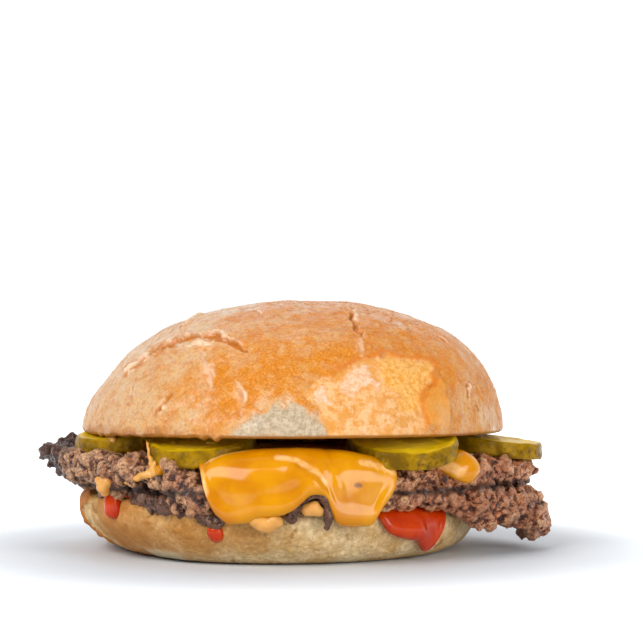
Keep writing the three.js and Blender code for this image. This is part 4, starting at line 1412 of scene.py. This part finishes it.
def pickle_material():
    material, tree, shader = new_material(
        "pickle", Roughness=0.3, Subsurface_Weight=0.2, Subsurface_Scale=0.0015,
        Subsurface_Radius=(0.8, 1, 0.02), Specular_IOR_Level=0.09,
    )
    cloud = remap(mottle(tree, 4, 4, 0.6, 1), 0.35, 0.65)
    flesh = blend(cloud, (0.6, 0.37, 0.003), (0.78, 0.52, 0.01))
    rind = blend(cloud, (0.13, 0.066, 0.0001), (0.31, 0.168, 0.0002))
    colour = layered(flesh, ("seeds", 0.4, (0.68, 0.48, 0.05)), ("skin", 1, rind))
    dots = times(remap(mottle(tree, 1.1, 3, 0.6, 7), 0.5, 0.68), painted(tree, "dotted"))
    feed(shader, "Base Color", blend(times(dots, 0.8), colour, (0.075, 0.035, 0.001)))
    roughen(shader, mottle(tree, 1, 4, 0.6, 3), 0.15, 0.4)
    return material


# Stage

def make_floor():
    """A pale floor that fades to white round the burger by glowing further out: painted light."""
    far = 6000
    corners = np.array([[-far, -far, 0], [far, -far, 0], [far, far, 0], [-far, far, 0.0]])
    floor = new_object("floor", new_mesh("floor", corners, np.array([[0, 1, 2, 3]])))
    material, tree, shader = new_material(
        "floor", Roughness=0.6, Specular_IOR_Level=0.25, Emission_Color=(1, 1, 1, 1),
    )
    tone = remap(mottle(tree, 60, 2, 0.5, 1), 0.3, 0.7)
    feed(shader, "Base Color", blend(tone, (0.66, 0.7, 0.75), (0.7, 0.74, 0.785)))
    place = add_node(tree, "ShaderNodeTexCoord").outputs["Object"]
    away = add_node(tree, "ShaderNodeVectorMath", {0: place}, operation="LENGTH").outputs["Value"]
    # the floor glows from 66 mm out, fully at 135 mm: painted light that whitens it away from the burger
    feed(shader, "Emission Strength", remap(away, 66 * MM, 135 * MM, 0, 0.75))
    give(floor, material)


def make_surround():
    """A surround that is white behind and dimmer in front."""
    world = bpy.data.worlds.new("surround")
    world.use_nodes = True
    background = world.node_tree.nodes["Background"]
    background.inputs["Color"].default_value = (1, 1, 1, 1)
    way = add_node(world.node_tree, "ShaderNodeTexCoord").outputs["Generated"]
    back = add_node(world.node_tree, "ShaderNodeSeparateXYZ", {0: way}).outputs["Y"]
    feed(background, "Strength", remap(back, -0.1, 0.6, 0.26, 1.08))
    bpy.context.scene.world = world


def add_light(name, place, size, power, colour):
    data = bpy.data.lights.new(name, "AREA")
    data.size = size * MM
    data.energy = power
    data.color = colour
    lamp = bpy.data.objects.new(name, data)
    lamp.location = [c * MM for c in place]
    aim = np.array([0, 0, 28]) - np.array(place)
    lamp.rotation_euler = (math.atan2(math.hypot(aim[0], aim[1]), -aim[2]), 0, math.atan2(-aim[0], aim[1]))
    bpy.context.scene.collection.objects.link(lamp)


def make_camera():
    """The photograph's view: level with the pickles, from the front."""
    data = bpy.data.cameras.new("camera")
    focal_pixels = 1542
    image_width = 643
    data.sensor_width = 36
    data.lens = focal_pixels / image_width * data.sensor_width
    data.clip_start = 0.01
    camera = bpy.data.objects.new("camera", data)
    camera.location = (8.2 * MM, -400 * MM, 42 * MM)
    pitch_up = 2.29
    camera.rotation_euler = (math.radians(90 + pitch_up), 0, 0)
    bpy.context.scene.collection.objects.link(camera)
    bpy.context.scene.camera = camera


make_camera()
make_floor()
make_surround()
add_light("key", (-350, -470, 420), 400, 3.8, (1, 0.99, 0.97))
add_light("top", (-60, 60, 760), 420, 0.8, (1, 1, 1))
add_light("fill", (420, -520, 220), 340, 2.4, (0.98, 0.99, 1))
bpy.context.scene.view_settings.view_transform = "Standard"

meat = meat_material()
cheese = cheese_material()
ketchup = ketchup_material()
sauce = sauce_material()
pickle = pickle_material()

make_heel()
make_ketchup_drips()
make_ketchup()
make_patty("patty_lower_meat", "patty_lower", LOWER_RIM,
           patty_outline(LOWER_RIM, LOWER_PATTY_Z, lower_top, heel_reach, lower_floor),
           LOWER_CHUNKS, CRISP_LOOP, 3)
give(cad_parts["cheese_lower"], cheese)
make_patty("patty_upper_meat", "patty_upper", UPPER_RIM,
           patty_outline(UPPER_RIM, UPPER_PATTY_Z, upper_top, stack_reach, upper_floor),
           UPPER_CHUNKS, RIGHT_THREAD, 40)
make_cheese()
for number, (pickle_name, slice_place) in enumerate(PICKLES.items()):
    make_pickle(pickle_name, *slice_place, 200 + number)
make_sauces()
make_crown()
